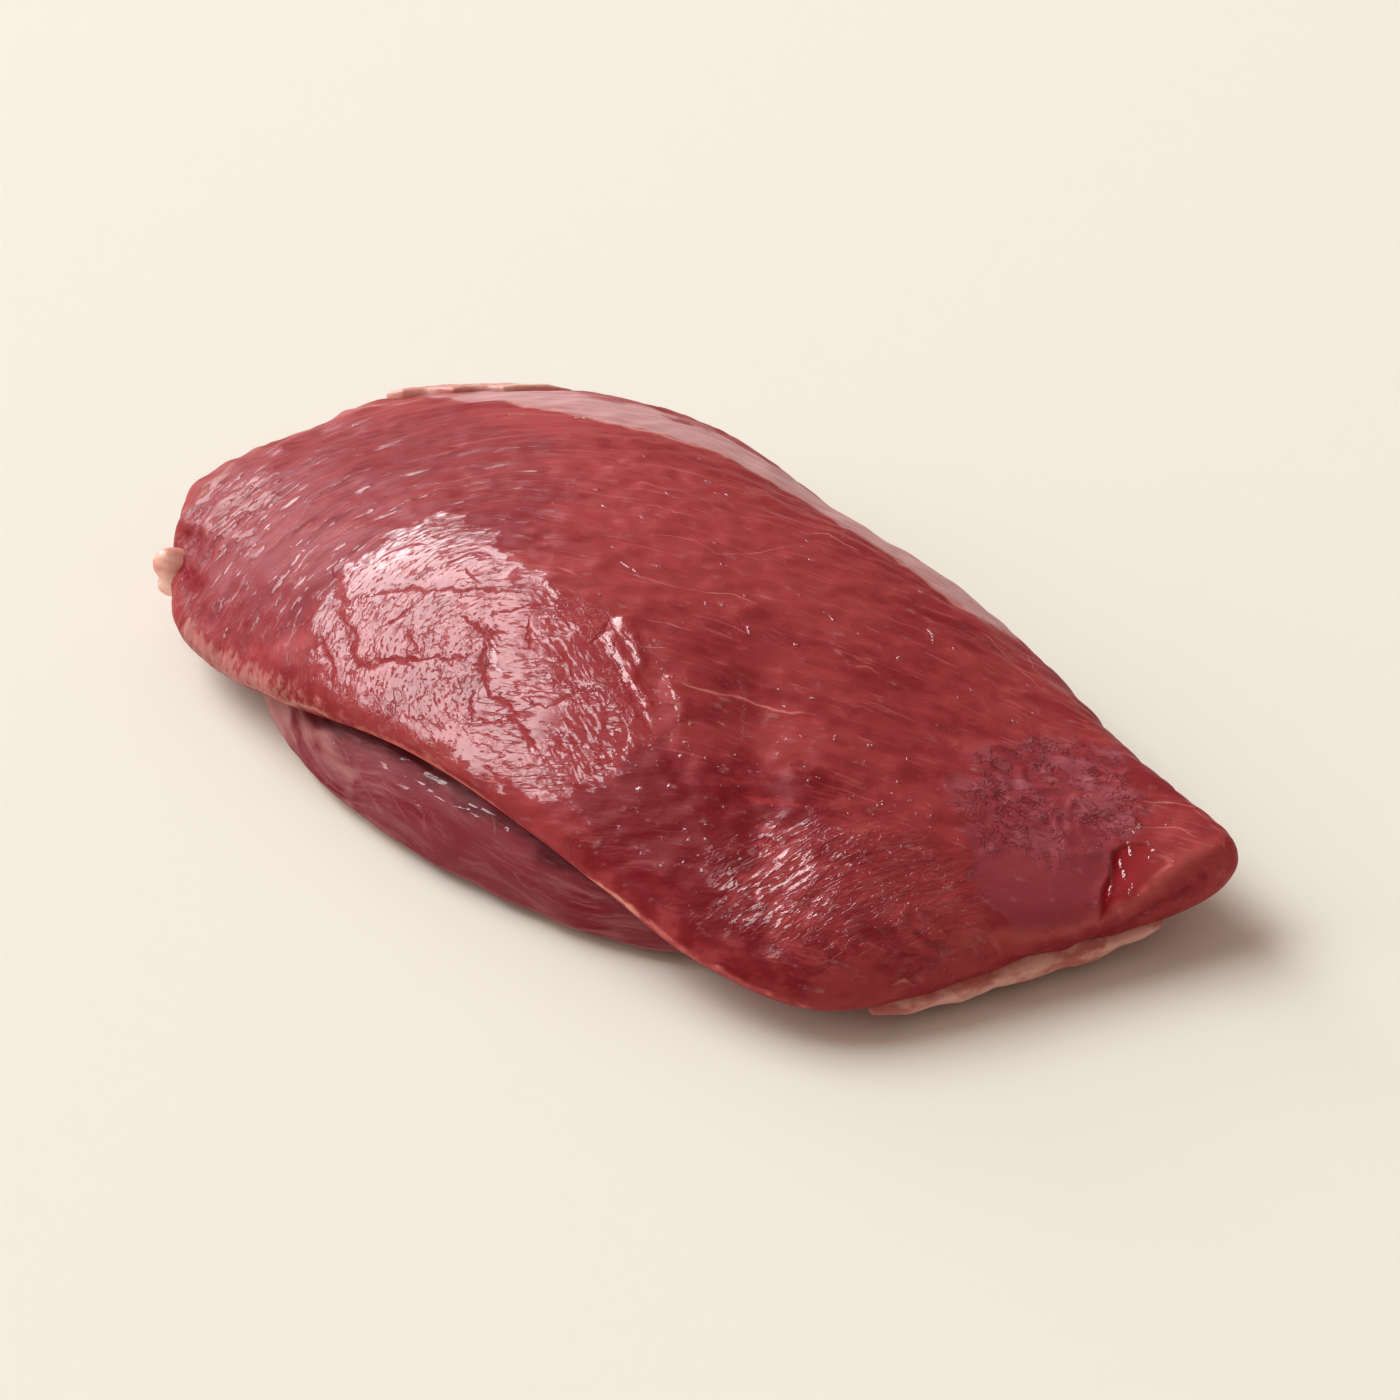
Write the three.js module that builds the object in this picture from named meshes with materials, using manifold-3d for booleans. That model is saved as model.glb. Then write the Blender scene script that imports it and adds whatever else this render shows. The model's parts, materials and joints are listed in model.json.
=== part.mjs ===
// A raw skinless duck breast that lies with its skinned side up, its inner fillet still tucked under the
// front edge, and trimmings of fat left on its rim. Millimetres, +Z up, and the table is at Z = 0.
// The breast lies along X: the thick shoulder end is at -X and the thin, slanting tail end at +X.
// -Y is the front edge, a lip that overhangs the inner fillet.
import * as THREE from "three";
import { mergeVertices } from "three/addons/utils/BufferGeometryUtils.js";
import Module from "manifold-3d";

const wasm = await Module();
wasm.setup();

// The breast's rim, where it reaches furthest out: X, Y and the height of the middle of its edge.
// It runs from the middle of the shoulder end along the back to the middle of the tail end, and home along
// the front, with as many points each way.
const RIM = [
  [-86, -12.5, 10],
  [-83, 4, 10],
  [-79, 21.5, 9.5],
  [-65, 36, 8],
  [-47, 47.5, 8],
  [-25, 49, 8],
  [-3, 43.5, 8],
  [19, 41, 8],
  [40, 33.5, 8.5],
  [59.5, 24.5, 9.5],
  [73, 20, 10.5],
  [82, 17, 10.5],
  [76, 1, 8.5],
  [68, -14, 7.5],
  [61, -28.5, 7],
  [52.5, -38.5, 7],
  [37, -42.5, 9],
  [18, -41.5, 12],
  [-2.5, -41, 15],
  [-22, -40.5, 15],
  [-40, -41, 12.5],
  [-55, -39, 9],
  [-67.5, -34.5, 8],
  [-77, -25.5, 9],
];

// The middle line of the breast, seen from above, and how high its back stands along X.
const SPINE = [
  [-54, 0],
  [51, -2],
];
const BACK_HEIGHT = [
  [-84, 19],
  [-54, 25],
  [-33, 30],
  [-12, 32],
  [9, 30.5],
  [30, 26],
  [51, 19.5],
  [83, 13],
];

// How the edge is shaped on each side: its height above and below the rim, and how abruptly it rounds over
// (a higher number is a crisper edge).
const EDGE_ABOVE = { front: 4, back: 10, tail: 5, shoulder: 6 };
const EDGE_BELOW = { front: 3, back: 6, tail: 3.5, shoulder: 4 };
const CRISPNESS = { front: 9, back: 6, tail: 16, shoulder: 8 };
const ROOF_FULLNESS = 2.2;
const SOLE_FLAT = 0.4; // the share of the way out where the underside lies flat on the table
const SOLE_CURVE = 2;

// Swells and hollows of the skinned side: centre X, Y, half-lengths along and across the heading, heading in
// degrees from +X, and height.
const SWELLS = [
  [-14, -20, 30, 13, 0, 2.2], // the shoulder, which bulges over the inner fillet
  [48, -23, 17, 11, 20, 2.2], // the hump behind the front corner
  [30, -20, 20, 5, -50, -1.6], // the valley between them
  [72, 1, 5, 3, 65, -1.4], // the notch that holds juice
];

const STEPS_ROUND = 128; // round the rim
const STEPS_ABOVE = 18; // from the middle line over the top to the rim
const STEPS_BELOW = 8; // from the rim to the middle of the underside
const CROWDING = 1.6; // how much closer together the steps are at the rim

// The inner fillet, a spindle that lies flat on the table: its middle, half-length, half-width and height.
const FILLET = { x: -7, y: -29.5, length: 47, width: 15, height: 14 };
const FILLET_TAPER = 2.4; // a higher number is a blunter end
const FILLET_EDGE = 4.5; // height at which it reaches furthest out
const FILLET_STEPS = 36;
const FILLET_AROUND = 26;

const GAP = 0.35; // clearance between pieces

// Trimmings of fat on the breast's surface: a stretch of the rim, counted in its points, the ring of the
// middle of the patch (0 on the rim, over 0 above it), how wide it is in rings, its thickness, how many lumps
// it has and its colour.
const FAT = {
  tail_fat: { from: 11.6, to: 14.5, ring: -0.2, width: 0.3, thickness: 1.9, lumps: 5, colour: 0xb98672 },
  shoulder_fat: { from: -1.45, to: -0.7, ring: -0.05, width: 0.7, thickness: 3.5, lumps: 1, colour: 0xe19d8b },
  back_fat: { from: 2, to: 3.6, ring: 0.26, width: 0.36, thickness: 1, lumps: 3, colour: 0xcf9a8e },
};
const FAT_EDGE = 0.4; // its thickness at the edges
const FAT_STEPS = 18;
const FAT_ACROSS = 8;

const rimCurve = new THREE.CatmullRomCurve3(
  RIM.map((p) => new THREE.Vector3(...p)),
  true,
  "centripetal",
);
const heights = new THREE.CubicInterpolant(
  BACK_HEIGHT.map(([x]) => x),
  BACK_HEIGHT.map(([, height]) => height),
  1,
);

// Blends four sizes, one for each side of the breast, by the direction that the rim faces.
function facing(direction, sizes) {
  const c = Math.cos(direction);
  const s = Math.sin(direction);
  const alongX = c > 0 ? sizes.tail : sizes.shoulder;
  const alongY = s > 0 ? sizes.back : sizes.front;
  return alongX * c * c + alongY * s * s;
}

function swell(x, y) {
  let sum = 0;
  for (const [cx, cy, along, across, heading, height] of SWELLS) {
    const a = THREE.MathUtils.degToRad(heading);
    const u = ((x - cx) * Math.cos(a) + (y - cy) * Math.sin(a)) / along;
    const v = ((y - cy) * Math.cos(a) - (x - cx) * Math.sin(a)) / across;
    sum += height * Math.exp(-u * u - v * v);
  }
  return sum;
}

// A point of the breast's half-section at t round the rim. ring is 1 on the middle line, 0 on the rim and
// -1 in the middle of the underside. The points of t and 1 - t share their place on the middle line.
function breastPoint(t, ring) {
  const rim = rimCurve.getPoint(THREE.MathUtils.euclideanModulo(t, 1));
  const opposite = rimCurve.getPoint(THREE.MathUtils.euclideanModulo(1 - t, 1));
  const [start, end] = SPINE.map((p) => new THREE.Vector2(...p));
  const along = ((rim.x + opposite.x) / 2 - start.x) / (end.x - start.x);
  const middle = start.lerp(end, THREE.MathUtils.clamp(along, 0, 1));
  const direction = Math.atan2(rim.y - middle.y, rim.x - middle.x);
  const out = 1 - Math.abs(ring) ** CROWDING;
  const x = THREE.MathUtils.lerp(middle.x, rim.x, out);
  const y = THREE.MathUtils.lerp(middle.y, rim.y, out);
  const rounding = Math.sqrt(1 - out ** facing(direction, CRISPNESS));
  if (ring > 0) {
    const lip = rim.z + facing(direction, EDGE_ABOVE);
    const top = THREE.MathUtils.lerp(heights.evaluate(x)[0], lip, out ** ROOF_FULLNESS) + swell(x, y);
    return new THREE.Vector3(x, y, THREE.MathUtils.lerp(rim.z, top, rounding));
  }
  if (out < SOLE_FLAT) return new THREE.Vector3(x, y, 0);
  const rise = ((out - SOLE_FLAT) / (1 - SOLE_FLAT)) ** SOLE_CURVE;
  const sole = (rim.z - facing(direction, EDGE_BELOW)) * rise;
  return new THREE.Vector3(x, y, THREE.MathUtils.lerp(rim.z, sole, rounding));
}

// A closed solid from rows of points. Each row runs round the body, and each end row closes on itself.
function solidOf(rows) {
  const around = rows[0].length;
  const index = [];
  for (let r = 0; r + 1 < rows.length; r++) {
    for (let i = 0; i < around; i++) {
      const a = r * around + i;
      const b = r * around + ((i + 1) % around);
      index.push(a, a + around, b, b, a + around, b + around);
    }
  }
  const geometry = new THREE.BufferGeometry().setFromPoints(rows.flat());
  geometry.setIndex(index);
  const merged = mergeVertices(geometry, 1e-3);
  const corners = [...merged.index.array];
  const triVerts = [];
  for (let i = 0; i < corners.length; i += 3) {
    const [a, b, c] = corners.slice(i, i + 3);
    if (a !== b && b !== c && c !== a) triVerts.push(a, b, c);
  }
  const mesh = new wasm.Mesh({
    numProp: 3,
    vertProperties: merged.getAttribute("position").array,
    triVerts: new Uint32Array(triVerts),
  });
  return new wasm.Manifold(mesh);
}

function breastSolid() {
  const rows = [];
  for (let r = -STEPS_BELOW; r <= STEPS_ABOVE; r++) {
    const ring = r < 0 ? r / STEPS_BELOW : r / STEPS_ABOVE;
    rows.push(Array.from({ length: STEPS_ROUND }, (_, i) => breastPoint(i / STEPS_ROUND, ring)));
  }
  return solidOf(rows);
}

// A point of the inner fillet at u along it, from -1 to 1, and turn round it. grow swells it on all sides,
// except that its ends stay closed.
function filletPoint(u, turn, grow) {
  const taper = Math.max(1 - Math.abs(u) ** FILLET_TAPER, 0);
  const across = Math.cos(turn);
  const up = Math.sin(turn);
  const squareness = up > 0 ? 2.1 : 4;
  const width = (FILLET.width + grow) * taper ** 0.75;
  const above = (FILLET.height - FILLET_EDGE + grow) * taper ** 0.6;
  const below = (FILLET_EDGE + 0.1 + grow) * taper ** 0.4;
  const y = FILLET.y + width * Math.sign(across) * Math.abs(across) ** (2 / squareness);
  const z = FILLET_EDGE + (up > 0 ? above : below) * Math.sign(up) * Math.abs(up) ** (2 / squareness);
  return new THREE.Vector3(FILLET.x + (FILLET.length + grow) * u, y, Math.max(z, -grow));
}

function filletSolid(grow) {
  const rows = [];
  for (let i = 0; i <= FILLET_STEPS; i++) {
    const u = Math.sin((i / FILLET_STEPS - 0.5) * Math.PI);
    const turns = Array.from({ length: FILLET_AROUND }, (_, k) => (-2 * Math.PI * k) / FILLET_AROUND);
    rows.push(turns.map((turn) => filletPoint(u, turn, grow)));
  }
  return solidOf(rows);
}

// A point over the breast's surface, lifted off it.
function liftedPoint(t, ring, lift) {
  const step = 1e-3;
  const along = breastPoint(t + step, ring).sub(breastPoint(t - step, ring));
  const inward = breastPoint(t, ring + step).sub(breastPoint(t, ring - step));
  const outward = inward.cross(along).normalize();
  return breastPoint(t, ring).addScaledVector(outward, lift);
}

// A lumpy shell of fat over a patch of the breast's surface, narrower and thinner towards its ends.
function fatSolid({ from, to, ring, width, thickness, lumps }) {
  const rows = [];
  for (let i = 0; i <= FAT_STEPS; i++) {
    const u = i / FAT_STEPS;
    const t = THREE.MathUtils.lerp(from, to, u) / RIM.length;
    const fullness = Math.max(Math.sin(Math.PI * u), 0) ** 0.5;
    const lump = 0.85 + 0.15 * Math.sin(2 * Math.PI * lumps * u);
    const outer = [];
    const inner = [];
    for (let j = 0; j <= FAT_ACROSS; j++) {
      const v = j / FAT_ACROSS;
      const place = ring + (v - 0.5) * width * fullness * lump;
      const swelling = fullness * lump * Math.max(Math.sin(Math.PI * v), 0) ** 0.5;
      outer.unshift(liftedPoint(t, place, GAP + THREE.MathUtils.lerp(FAT_EDGE, thickness, swelling)));
      inner.push(liftedPoint(t, place, GAP));
    }
    rows.push([...outer, ...inner]);
  }
  return solidOf(rows);
}

function geometryOf(solid) {
  const mesh = solid.getMesh();
  const geometry = new THREE.BufferGeometry();
  geometry.setAttribute("position", new THREE.BufferAttribute(mesh.vertProperties, 3));
  geometry.setIndex(new THREE.BufferAttribute(mesh.triVerts, 1));
  return geometry;
}

const group = new THREE.Group();
function piece(name, solid, colour, roughness) {
  const material = new THREE.MeshStandardMaterial({ color: colour, roughness, metalness: 0 });
  const mesh = new THREE.Mesh(geometryOf(solid), material);
  mesh.name = name;
  group.add(mesh);
}

// Cutting the groove for the inner fillet leaves scraps of the underside, and the breast is the largest body.
const bodies = breastSolid().subtract(filletSolid(GAP)).decompose();
const breast = bodies.reduce((a, b) => (a.volume() > b.volume() ? a : b));
piece("breast", breast, 0x9a3a3e, 0.35);
piece("inner_fillet", filletSolid(0), 0x6e2c33, 0.4);
for (const [name, fat] of Object.entries(FAT)) piece(name, fatSolid(fat), fat.colour, 0.45);

// The part's origin is under the middle of its box.
const box = new THREE.Box3().setFromObject(group);
const centre = box.getCenter(new THREE.Vector3());
group.position.set(-centre.x, -centre.y, -box.min.z);

export default group;
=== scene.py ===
# A raw skinless duck breast on a pale table: the frame's five solids dressed as wet muscle, membrane and fat.
import json
import math
import bmesh
import bpy
import numpy as np
from mathutils import Matrix, Vector
from mathutils.bvhtree import BVHTree

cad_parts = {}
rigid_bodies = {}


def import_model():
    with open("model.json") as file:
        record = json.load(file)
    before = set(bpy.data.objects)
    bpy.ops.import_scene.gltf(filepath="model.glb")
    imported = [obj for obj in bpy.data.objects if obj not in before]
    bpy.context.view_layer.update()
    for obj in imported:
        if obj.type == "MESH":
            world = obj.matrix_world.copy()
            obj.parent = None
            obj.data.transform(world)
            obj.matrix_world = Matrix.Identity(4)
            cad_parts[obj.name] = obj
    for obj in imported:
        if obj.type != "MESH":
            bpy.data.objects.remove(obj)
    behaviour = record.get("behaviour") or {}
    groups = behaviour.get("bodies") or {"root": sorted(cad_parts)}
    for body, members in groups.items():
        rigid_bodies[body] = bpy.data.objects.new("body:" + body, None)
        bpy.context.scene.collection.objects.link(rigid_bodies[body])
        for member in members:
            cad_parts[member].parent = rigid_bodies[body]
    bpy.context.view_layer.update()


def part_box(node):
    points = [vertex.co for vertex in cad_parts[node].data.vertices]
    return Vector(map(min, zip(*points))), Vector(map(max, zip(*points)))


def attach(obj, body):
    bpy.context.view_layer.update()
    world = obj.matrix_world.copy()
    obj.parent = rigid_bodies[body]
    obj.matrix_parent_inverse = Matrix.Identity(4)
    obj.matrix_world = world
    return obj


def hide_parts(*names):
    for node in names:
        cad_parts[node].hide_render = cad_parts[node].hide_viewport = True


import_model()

# The camera stands where the photograph was taken from, 54 cm off and well above the table.
# Its picture is 1400 pixels square, and places that were read off the photograph are in those pixels.
PICTURE = 1400
LENS_MM = 100.0
SENSOR_MM = 36.0
CAMERA_ROUND = math.radians(40)
CAMERA_UP = math.radians(38)
MM_A_PIXEL = 0.139
LOOKED_AT_MM = np.array([7.51, -5.64, 12.0])

pixels_deep = PICTURE * LENS_MM / SENSOR_MM
towards_camera = np.array([
    math.sin(CAMERA_ROUND) * math.cos(CAMERA_UP),
    -math.cos(CAMERA_ROUND) * math.cos(CAMERA_UP),
    math.sin(CAMERA_UP),
])
rightwards = np.array([math.cos(CAMERA_ROUND), math.sin(CAMERA_ROUND), 0.0])
farther = np.array([-math.sin(CAMERA_ROUND), math.cos(CAMERA_ROUND), 0.0])
upwards = np.cross(towards_camera, rightwards)
eye_mm = LOOKED_AT_MM + towards_camera * pixels_deep * MM_A_PIXEL

camera_data = bpy.data.cameras.new("camera")
camera_data.lens = LENS_MM
camera_data.sensor_width = SENSOR_MM
camera_data.clip_start = 0.01
camera_data.clip_end = 50
camera = bpy.data.objects.new("camera", camera_data)
turn = np.eye(4)
turn[:3, 0] = rightwards
turn[:3, 1] = upwards
turn[:3, 2] = towards_camera
turn[:3, 3] = eye_mm / 1000
camera.matrix_world = Matrix(turn.tolist())
bpy.context.collection.objects.link(camera)
bpy.context.scene.camera = camera
bpy.context.scene.view_settings.view_transform = "Standard"

# The breast: one thick flat muscle with its skin pulled off, so a thin wet membrane over long fibres shows.
# The fibres bend round the shoulder dome and run straight to the tail, the membrane is cracked where the skin
# tore off it, and a strip of silverskin stays along the back edge.
MUSCLE_VOXEL_MM = 0.40
SMOOTHINGS = 22
DOME_MM = (-8.0, -32.4)
GRAIN_TURN = math.radians(24)
BEND_MM = 20.0
# How the fibres' lean changes with the distance behind the dome, in millimetres.
GRAIN_LEAN = [(5, 0.0), (60, -0.1), (78, -1.3)]
SMOOTHING_STEP = 0.6
HILL_SCALE = 1.6
FAR_MM = 1e3
TINY = 1e-6


def fine_copy(name, voxel_mm, smoothings):
    """A copy of a solid with an even fine mesh, its facets smoothed away."""
    source = bpy.data.objects[name]
    mesh = source.data.copy()
    work = bmesh.new()
    work.from_mesh(mesh)
    bmesh.ops.remove_doubles(work, verts=work.verts, dist=1e-6)
    work.to_mesh(mesh)
    work.free()
    piece = bpy.data.objects.new(name + "_dressed", mesh)
    bpy.context.collection.objects.link(piece)
    remesh = piece.modifiers.new("remesh", "REMESH")
    remesh.mode = "VOXEL"
    remesh.voxel_size = voxel_mm / 1000
    ready = piece.evaluated_get(bpy.context.evaluated_depsgraph_get())
    piece.modifiers.clear()
    fine = bpy.data.meshes.new_from_object(ready)
    piece.data = fine
    bpy.data.meshes.remove(mesh)
    move_points(fine, smoothed(fine, points_of(fine), smoothings))
    return piece


def points_of(mesh):
    """The mesh's points in millimetres."""
    flat = np.empty(len(mesh.vertices) * 3, dtype=np.float32)
    mesh.vertices.foreach_get("co", flat)
    return flat.reshape(-1, 3).astype(float) * 1000


def move_points(mesh, places):
    mesh.vertices.foreach_set("co", (places / 1000).astype(np.float32).ravel())
    mesh.update()


def normals_of(mesh):
    flat = np.empty(len(mesh.vertices) * 3, dtype=np.float32)
    mesh.vertex_normals.foreach_get("vector", flat)
    return flat.reshape(-1, 3).astype(float)


def smoothed(mesh, places, rounds):
    """The points after each has moved towards the middle of its neighbours this many times."""
    ends = np.empty(len(mesh.edges) * 2, dtype=np.int32)
    mesh.edges.foreach_get("vertices", ends)
    one, other = ends.reshape(-1, 2).T
    size = len(places)
    count = np.bincount(ends, minlength=size)
    for _ in range(rounds):
        middle = np.empty_like(places)
        for axis in range(3):
            column = places[:, axis]
            around = np.bincount(one, column[other], size) + np.bincount(other, column[one], size)
            middle[:, axis] = around / count
        places = places + SMOOTHING_STEP * (middle - places)
    return places


def ripple(places, cell, seed):
    """Smooth random hills between about -1 and 1. A cell is their size in millimetres, one or three."""
    draw = np.random.default_rng(seed)
    slopes = draw.normal(size=(256, 3))
    slopes /= np.linalg.norm(slopes, axis=1)[:, None]
    shuffle = draw.permutation(256)
    scaled = places / np.asarray(cell, dtype=float)
    corner = np.floor(scaled).astype(int)
    inside = scaled - corner
    ease = inside ** 3 * (inside * (inside * 6 - 15) + 10)
    total = np.zeros(len(places))
    for step in np.ndindex(2, 2, 2):
        at = corner + step
        pick = shuffle[(shuffle[(shuffle[at[:, 0] % 256] + at[:, 1]) % 256] + at[:, 2]) % 256]
        weight = np.prod(np.where(step, ease, 1 - ease), axis=1)
        total += weight * np.einsum("ij,ij->i", slopes[pick], inside - step)
    return total * HILL_SCALE


def wobble(places, cell, seed):
    """Random shifts of each point, one hill pattern an axis."""
    return np.stack([ripple(places, cell, seed + axis) for axis in range(3)], axis=1)


def fade(values, start, end):
    """0 before start and 1 after end, with a soft change between them."""
    part = np.clip((values - start) / (end - start), 0, 1)
    return part * part * (3 - 2 * part)


def profile(at, steps):
    """The value at each place along a line, from pairs of a place and the value there."""
    return np.interp(at, *zip(*steps))


def seen_points(faces, pixels, step=5):
    """Where the line through these pixels lies on the surface, in millimetres."""
    corners = np.array(pixels, dtype=float)
    found = []
    for first, last in zip(corners[:-1], corners[1:]):
        parts = max(1, int(np.hypot(*(last - first)) / step))
        for part in range(parts):
            found.append(first + (last - first) * part / parts)
    found.append(corners[-1])
    places = []
    for across, down in found:
        off_middle = rightwards * (across - PICTURE / 2) - upwards * (down - PICTURE / 2)
        ray = off_middle / pixels_deep - towards_camera
        hit = faces.ray_cast(Vector(eye_mm / 1000), Vector(ray))[0]
        if hit is not None:
            places.append(np.array(hit) * 1000)
    return np.array(places)


def surface_of(name):
    """A search tree of a solid's faces."""
    mesh = bpy.data.objects[name].data
    return BVHTree.FromPolygons([v.co for v in mesh.vertices], [p.vertices for p in mesh.polygons])


def gap_to(places, line, reach):
    """How far each point is from a line, how far along it from 0 to 1, and 1 on its left or -1 on its right.

    Points farther off than the reach count as far away.
    """
    nearest = np.full(len(places), FAR_MM)
    along = np.zeros(len(places))
    side = np.ones(len(places))
    low = line.min(axis=0) - reach
    high = line.max(axis=0) + reach
    close = np.nonzero(np.all((places > low) & (places < high), axis=1))[0]
    here = places[close]
    best = nearest[close]
    part_at = along[close]
    side_at = side[close]
    steps = np.linalg.norm(np.diff(line, axis=0), axis=1)
    total = max(steps.sum(), TINY)
    done = 0.0
    for first, last, length in zip(line[:-1], line[1:], steps):
        way = (last - first) / max(length, TINY)
        off = here - first
        part = np.clip(off @ way, 0, length)
        gap = np.linalg.norm(off - part[:, None] * way, axis=1)
        nearer = gap < best
        best[nearer] = gap[nearer]
        part_at[nearer] = (done + part[nearer]) / total
        side_at[nearer] = np.sign(way[0] * off[nearer, 1] - way[1] * off[nearer, 0])
        done += length
    nearest[close] = best
    along[close] = part_at
    side[close] = side_at
    return nearest, along, side


def bulge(gap, width):
    """1 on a line, falling to about a third at this width off it and to nothing beyond."""
    return np.exp(-(gap / width) ** 2)


def taper(part, share, least=0.0):
    """1 along a line, and the least value at its ends, where it changes over this share of the line."""
    return np.minimum(fade(part, 0.0, share), fade(1 - part, 0.0, share)) * (1 - least) + least


def inside_of(places, outline, soft_mm):
    """1 inside an outline seen from above and 0 outside, soft over the given width."""
    x, y = places[:, 0], places[:, 1]
    crossings = np.zeros(len(places), dtype=bool)
    nearest = np.full(len(places), FAR_MM)
    for (ax, ay), (bx, by) in zip(outline, np.roll(outline, -1, axis=0)):
        spans = (ay > y) != (by > y)
        meets = ax + (y - ay) * (bx - ax) / (by - ay if by != ay else TINY)
        crossings ^= spans & (x < meets)
        way = np.array([bx - ax, by - ay])
        length = max(way @ way, TINY)
        part = np.clip(((x - ax) * way[0] + (y - ay) * way[1]) / length, 0, 1)
        nearest = np.minimum(nearest, np.hypot(x - ax - part * way[0], y - ay - part * way[1]))
    signed = np.where(crossings, nearest, -nearest)
    return fade(signed, -soft_mm / 2, soft_mm / 2)


def attribute(mesh, name, columns):
    """Keeps up to three numbers a point for the materials to read."""
    block = np.zeros((len(mesh.vertices), 3), dtype=np.float32)
    for index, column in enumerate(columns):
        block[:, index] = column
    made = mesh.attributes.new(name, "FLOAT_VECTOR", "POINT")
    made.data.foreach_set("vector", block.ravel())


def by_threes(names):
    """The names in threes, because an attribute holds three numbers a point."""
    names = list(names)
    return [names[start:start + 3] for start in range(0, len(names), 3)]


def keep(mesh, masks):
    """Keeps named numbers of each point, in attributes that are named after the three that they hold."""
    for names in by_threes(masks):
        attribute(mesh, " ".join(names), [masks[name] for name in names])


def grain_of(places):
    """How far along, across and aside of the fibres each point lies. They bend round the dome."""
    x = places[:, 0] - DOME_MM[0]
    y = places[:, 1] - DOME_MM[1]
    forward = x * math.cos(GRAIN_TURN) + y * math.sin(GRAIN_TURN)
    aside = y * math.cos(GRAIN_TURN) - x * math.sin(GRAIN_TURN)
    away = np.hypot(x, y)
    lean = GRAIN_TURN * (1 + profile(y, GRAIN_LEAN) * fade(forward, 0, 25))
    beside = np.abs(y * np.cos(lean) - x * np.sin(lean))
    bent = forward < 0
    along = np.where(bent, -np.arctan2(-forward, np.abs(aside)) * BEND_MM, forward)
    return along, np.where(bent, away, beside), aside


breast = fine_copy("breast", MUSCLE_VOXEL_MM, SMOOTHINGS)
breast_faces = surface_of("breast")
places = points_of(breast.data)
facing = normals_of(breast.data)
along, across, aside = grain_of(places)
height = places[:, 2]
grain = np.stack([along, across, 4 * aside], axis=1)
top = fade(facing[:, 2], -0.15, 0.35)
sole = fade(height, 0.1, 1.5)


def on_breast(pixels):
    return seen_points(breast_faces, pixels)


# Zones of the breast as they lie in the photograph, each an outline in its pixels.
DOME_SHINE = [(309, 633), (318, 600), (344, 572), (389, 532), (433, 515), (487, 524), (505, 562), (549, 582),
              (611, 608), (646, 655), (655, 713), (640, 752), (611, 772), (549, 802), (509, 800), (447, 772),
              (402, 745), (358, 715), (322, 682)]
DOME_RIGHT = [(530, 560), (611, 600), (660, 655), (660, 760), (560, 815), (535, 760), (545, 700), (520, 640)]
HUMP_SHINE = [(715, 900), (740, 845), (800, 815), (880, 820), (960, 850), (985, 890), (950, 940), (880, 960),
              (800, 945), (740, 925)]
LEFT_SHINE = [(178, 540), (186, 508), (212, 484), (262, 470), (290, 480), (262, 520), (248, 560), (205, 560)]
SHOULDER = [(170, 640), (170, 520), (230, 460), (330, 420), (460, 410), (560, 440), (560, 520), (500, 545),
            (420, 545), (340, 580), (310, 640)]
SPARKLING = [(640, 640), (700, 680), (790, 760), (900, 790), (1000, 850), (960, 960), (800, 950), (680, 880),
             (600, 830), (560, 790), (640, 750)]
FRONT = [(560, 800), (640, 745), (690, 750), (725, 850), (760, 950), (820, 1020), (700, 985), (600, 895)]
# Painted shade: the front's lower face and the valley before the hump, where shade falls, are coloured darker.
PAINTED_SHADE_ZONE = [(560, 800), (610, 780), (655, 740), (690, 770), (760, 765), (830, 770), (850, 800), (760, 840),
        (735, 890), (790, 960), (900, 930), (985, 935), (985, 975), (900, 1010), (820, 1020), (700, 960),
        (610, 880)]
UPPER = [(560, 430), (700, 470), (840, 540), (900, 600), (860, 660), (760, 600), (690, 620), (620, 560)]
VEIL = [(960, 830), (1000, 790), (1060, 800), (1110, 830), (1108, 870), (1098, 915), (1060, 930), (1010, 925),
        (985, 900), (975, 865)]
CRUMPLE = [(950, 800), (985, 748), (1050, 732), (1120, 755), (1150, 815), (1118, 860), (1050, 862),
           (985, 855)]
POOL = [(1112, 857), (1130, 846), (1162, 850), (1170, 862), (1148, 880), (1128, 898), (1099, 914),
        (1107, 885)]
NOTCH_EDGE = [(1112, 857), (1107, 885), (1099, 914)]
# The pit at the left tip is coloured darker: painted shade in the hollow.
PIT = [(168, 535), (183, 528), (200, 540), (204, 575), (194, 604), (174, 598)]

edge_waver = wobble(places, 4, 60)


def zone(pixels, soft_mm, ragged_mm):
    """How much of each point lies in a zone that is seen from above and whose edge wavers."""
    outline = on_breast(pixels + pixels[:1])[:, :2]
    return inside_of(places + ragged_mm * edge_waver, outline, soft_mm) * top


dome = zone(DOME_SHINE, 6, 2)
dome_right = zone(DOME_RIGHT, 7, 2)
hump = zone(HUMP_SHINE, 7, 2.5)
left = zone(LEFT_SHINE, 5, 2.5)
shoulder = zone(SHOULDER, 12, 3)
sparkling = zone(SPARKLING, 8, 3)
front = zone(FRONT, 7, 2)
deep = zone(PAINTED_SHADE_ZONE, 9, 3)
upper = zone(UPPER, 12, 3)
veil = zone(VEIL, 2.5, 2)
crumple = zone(CRUMPLE, 5, 2)
pool = zone(POOL, 0.8, 0.9)
pit = zone(PIT, 3, 1.5)

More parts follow.
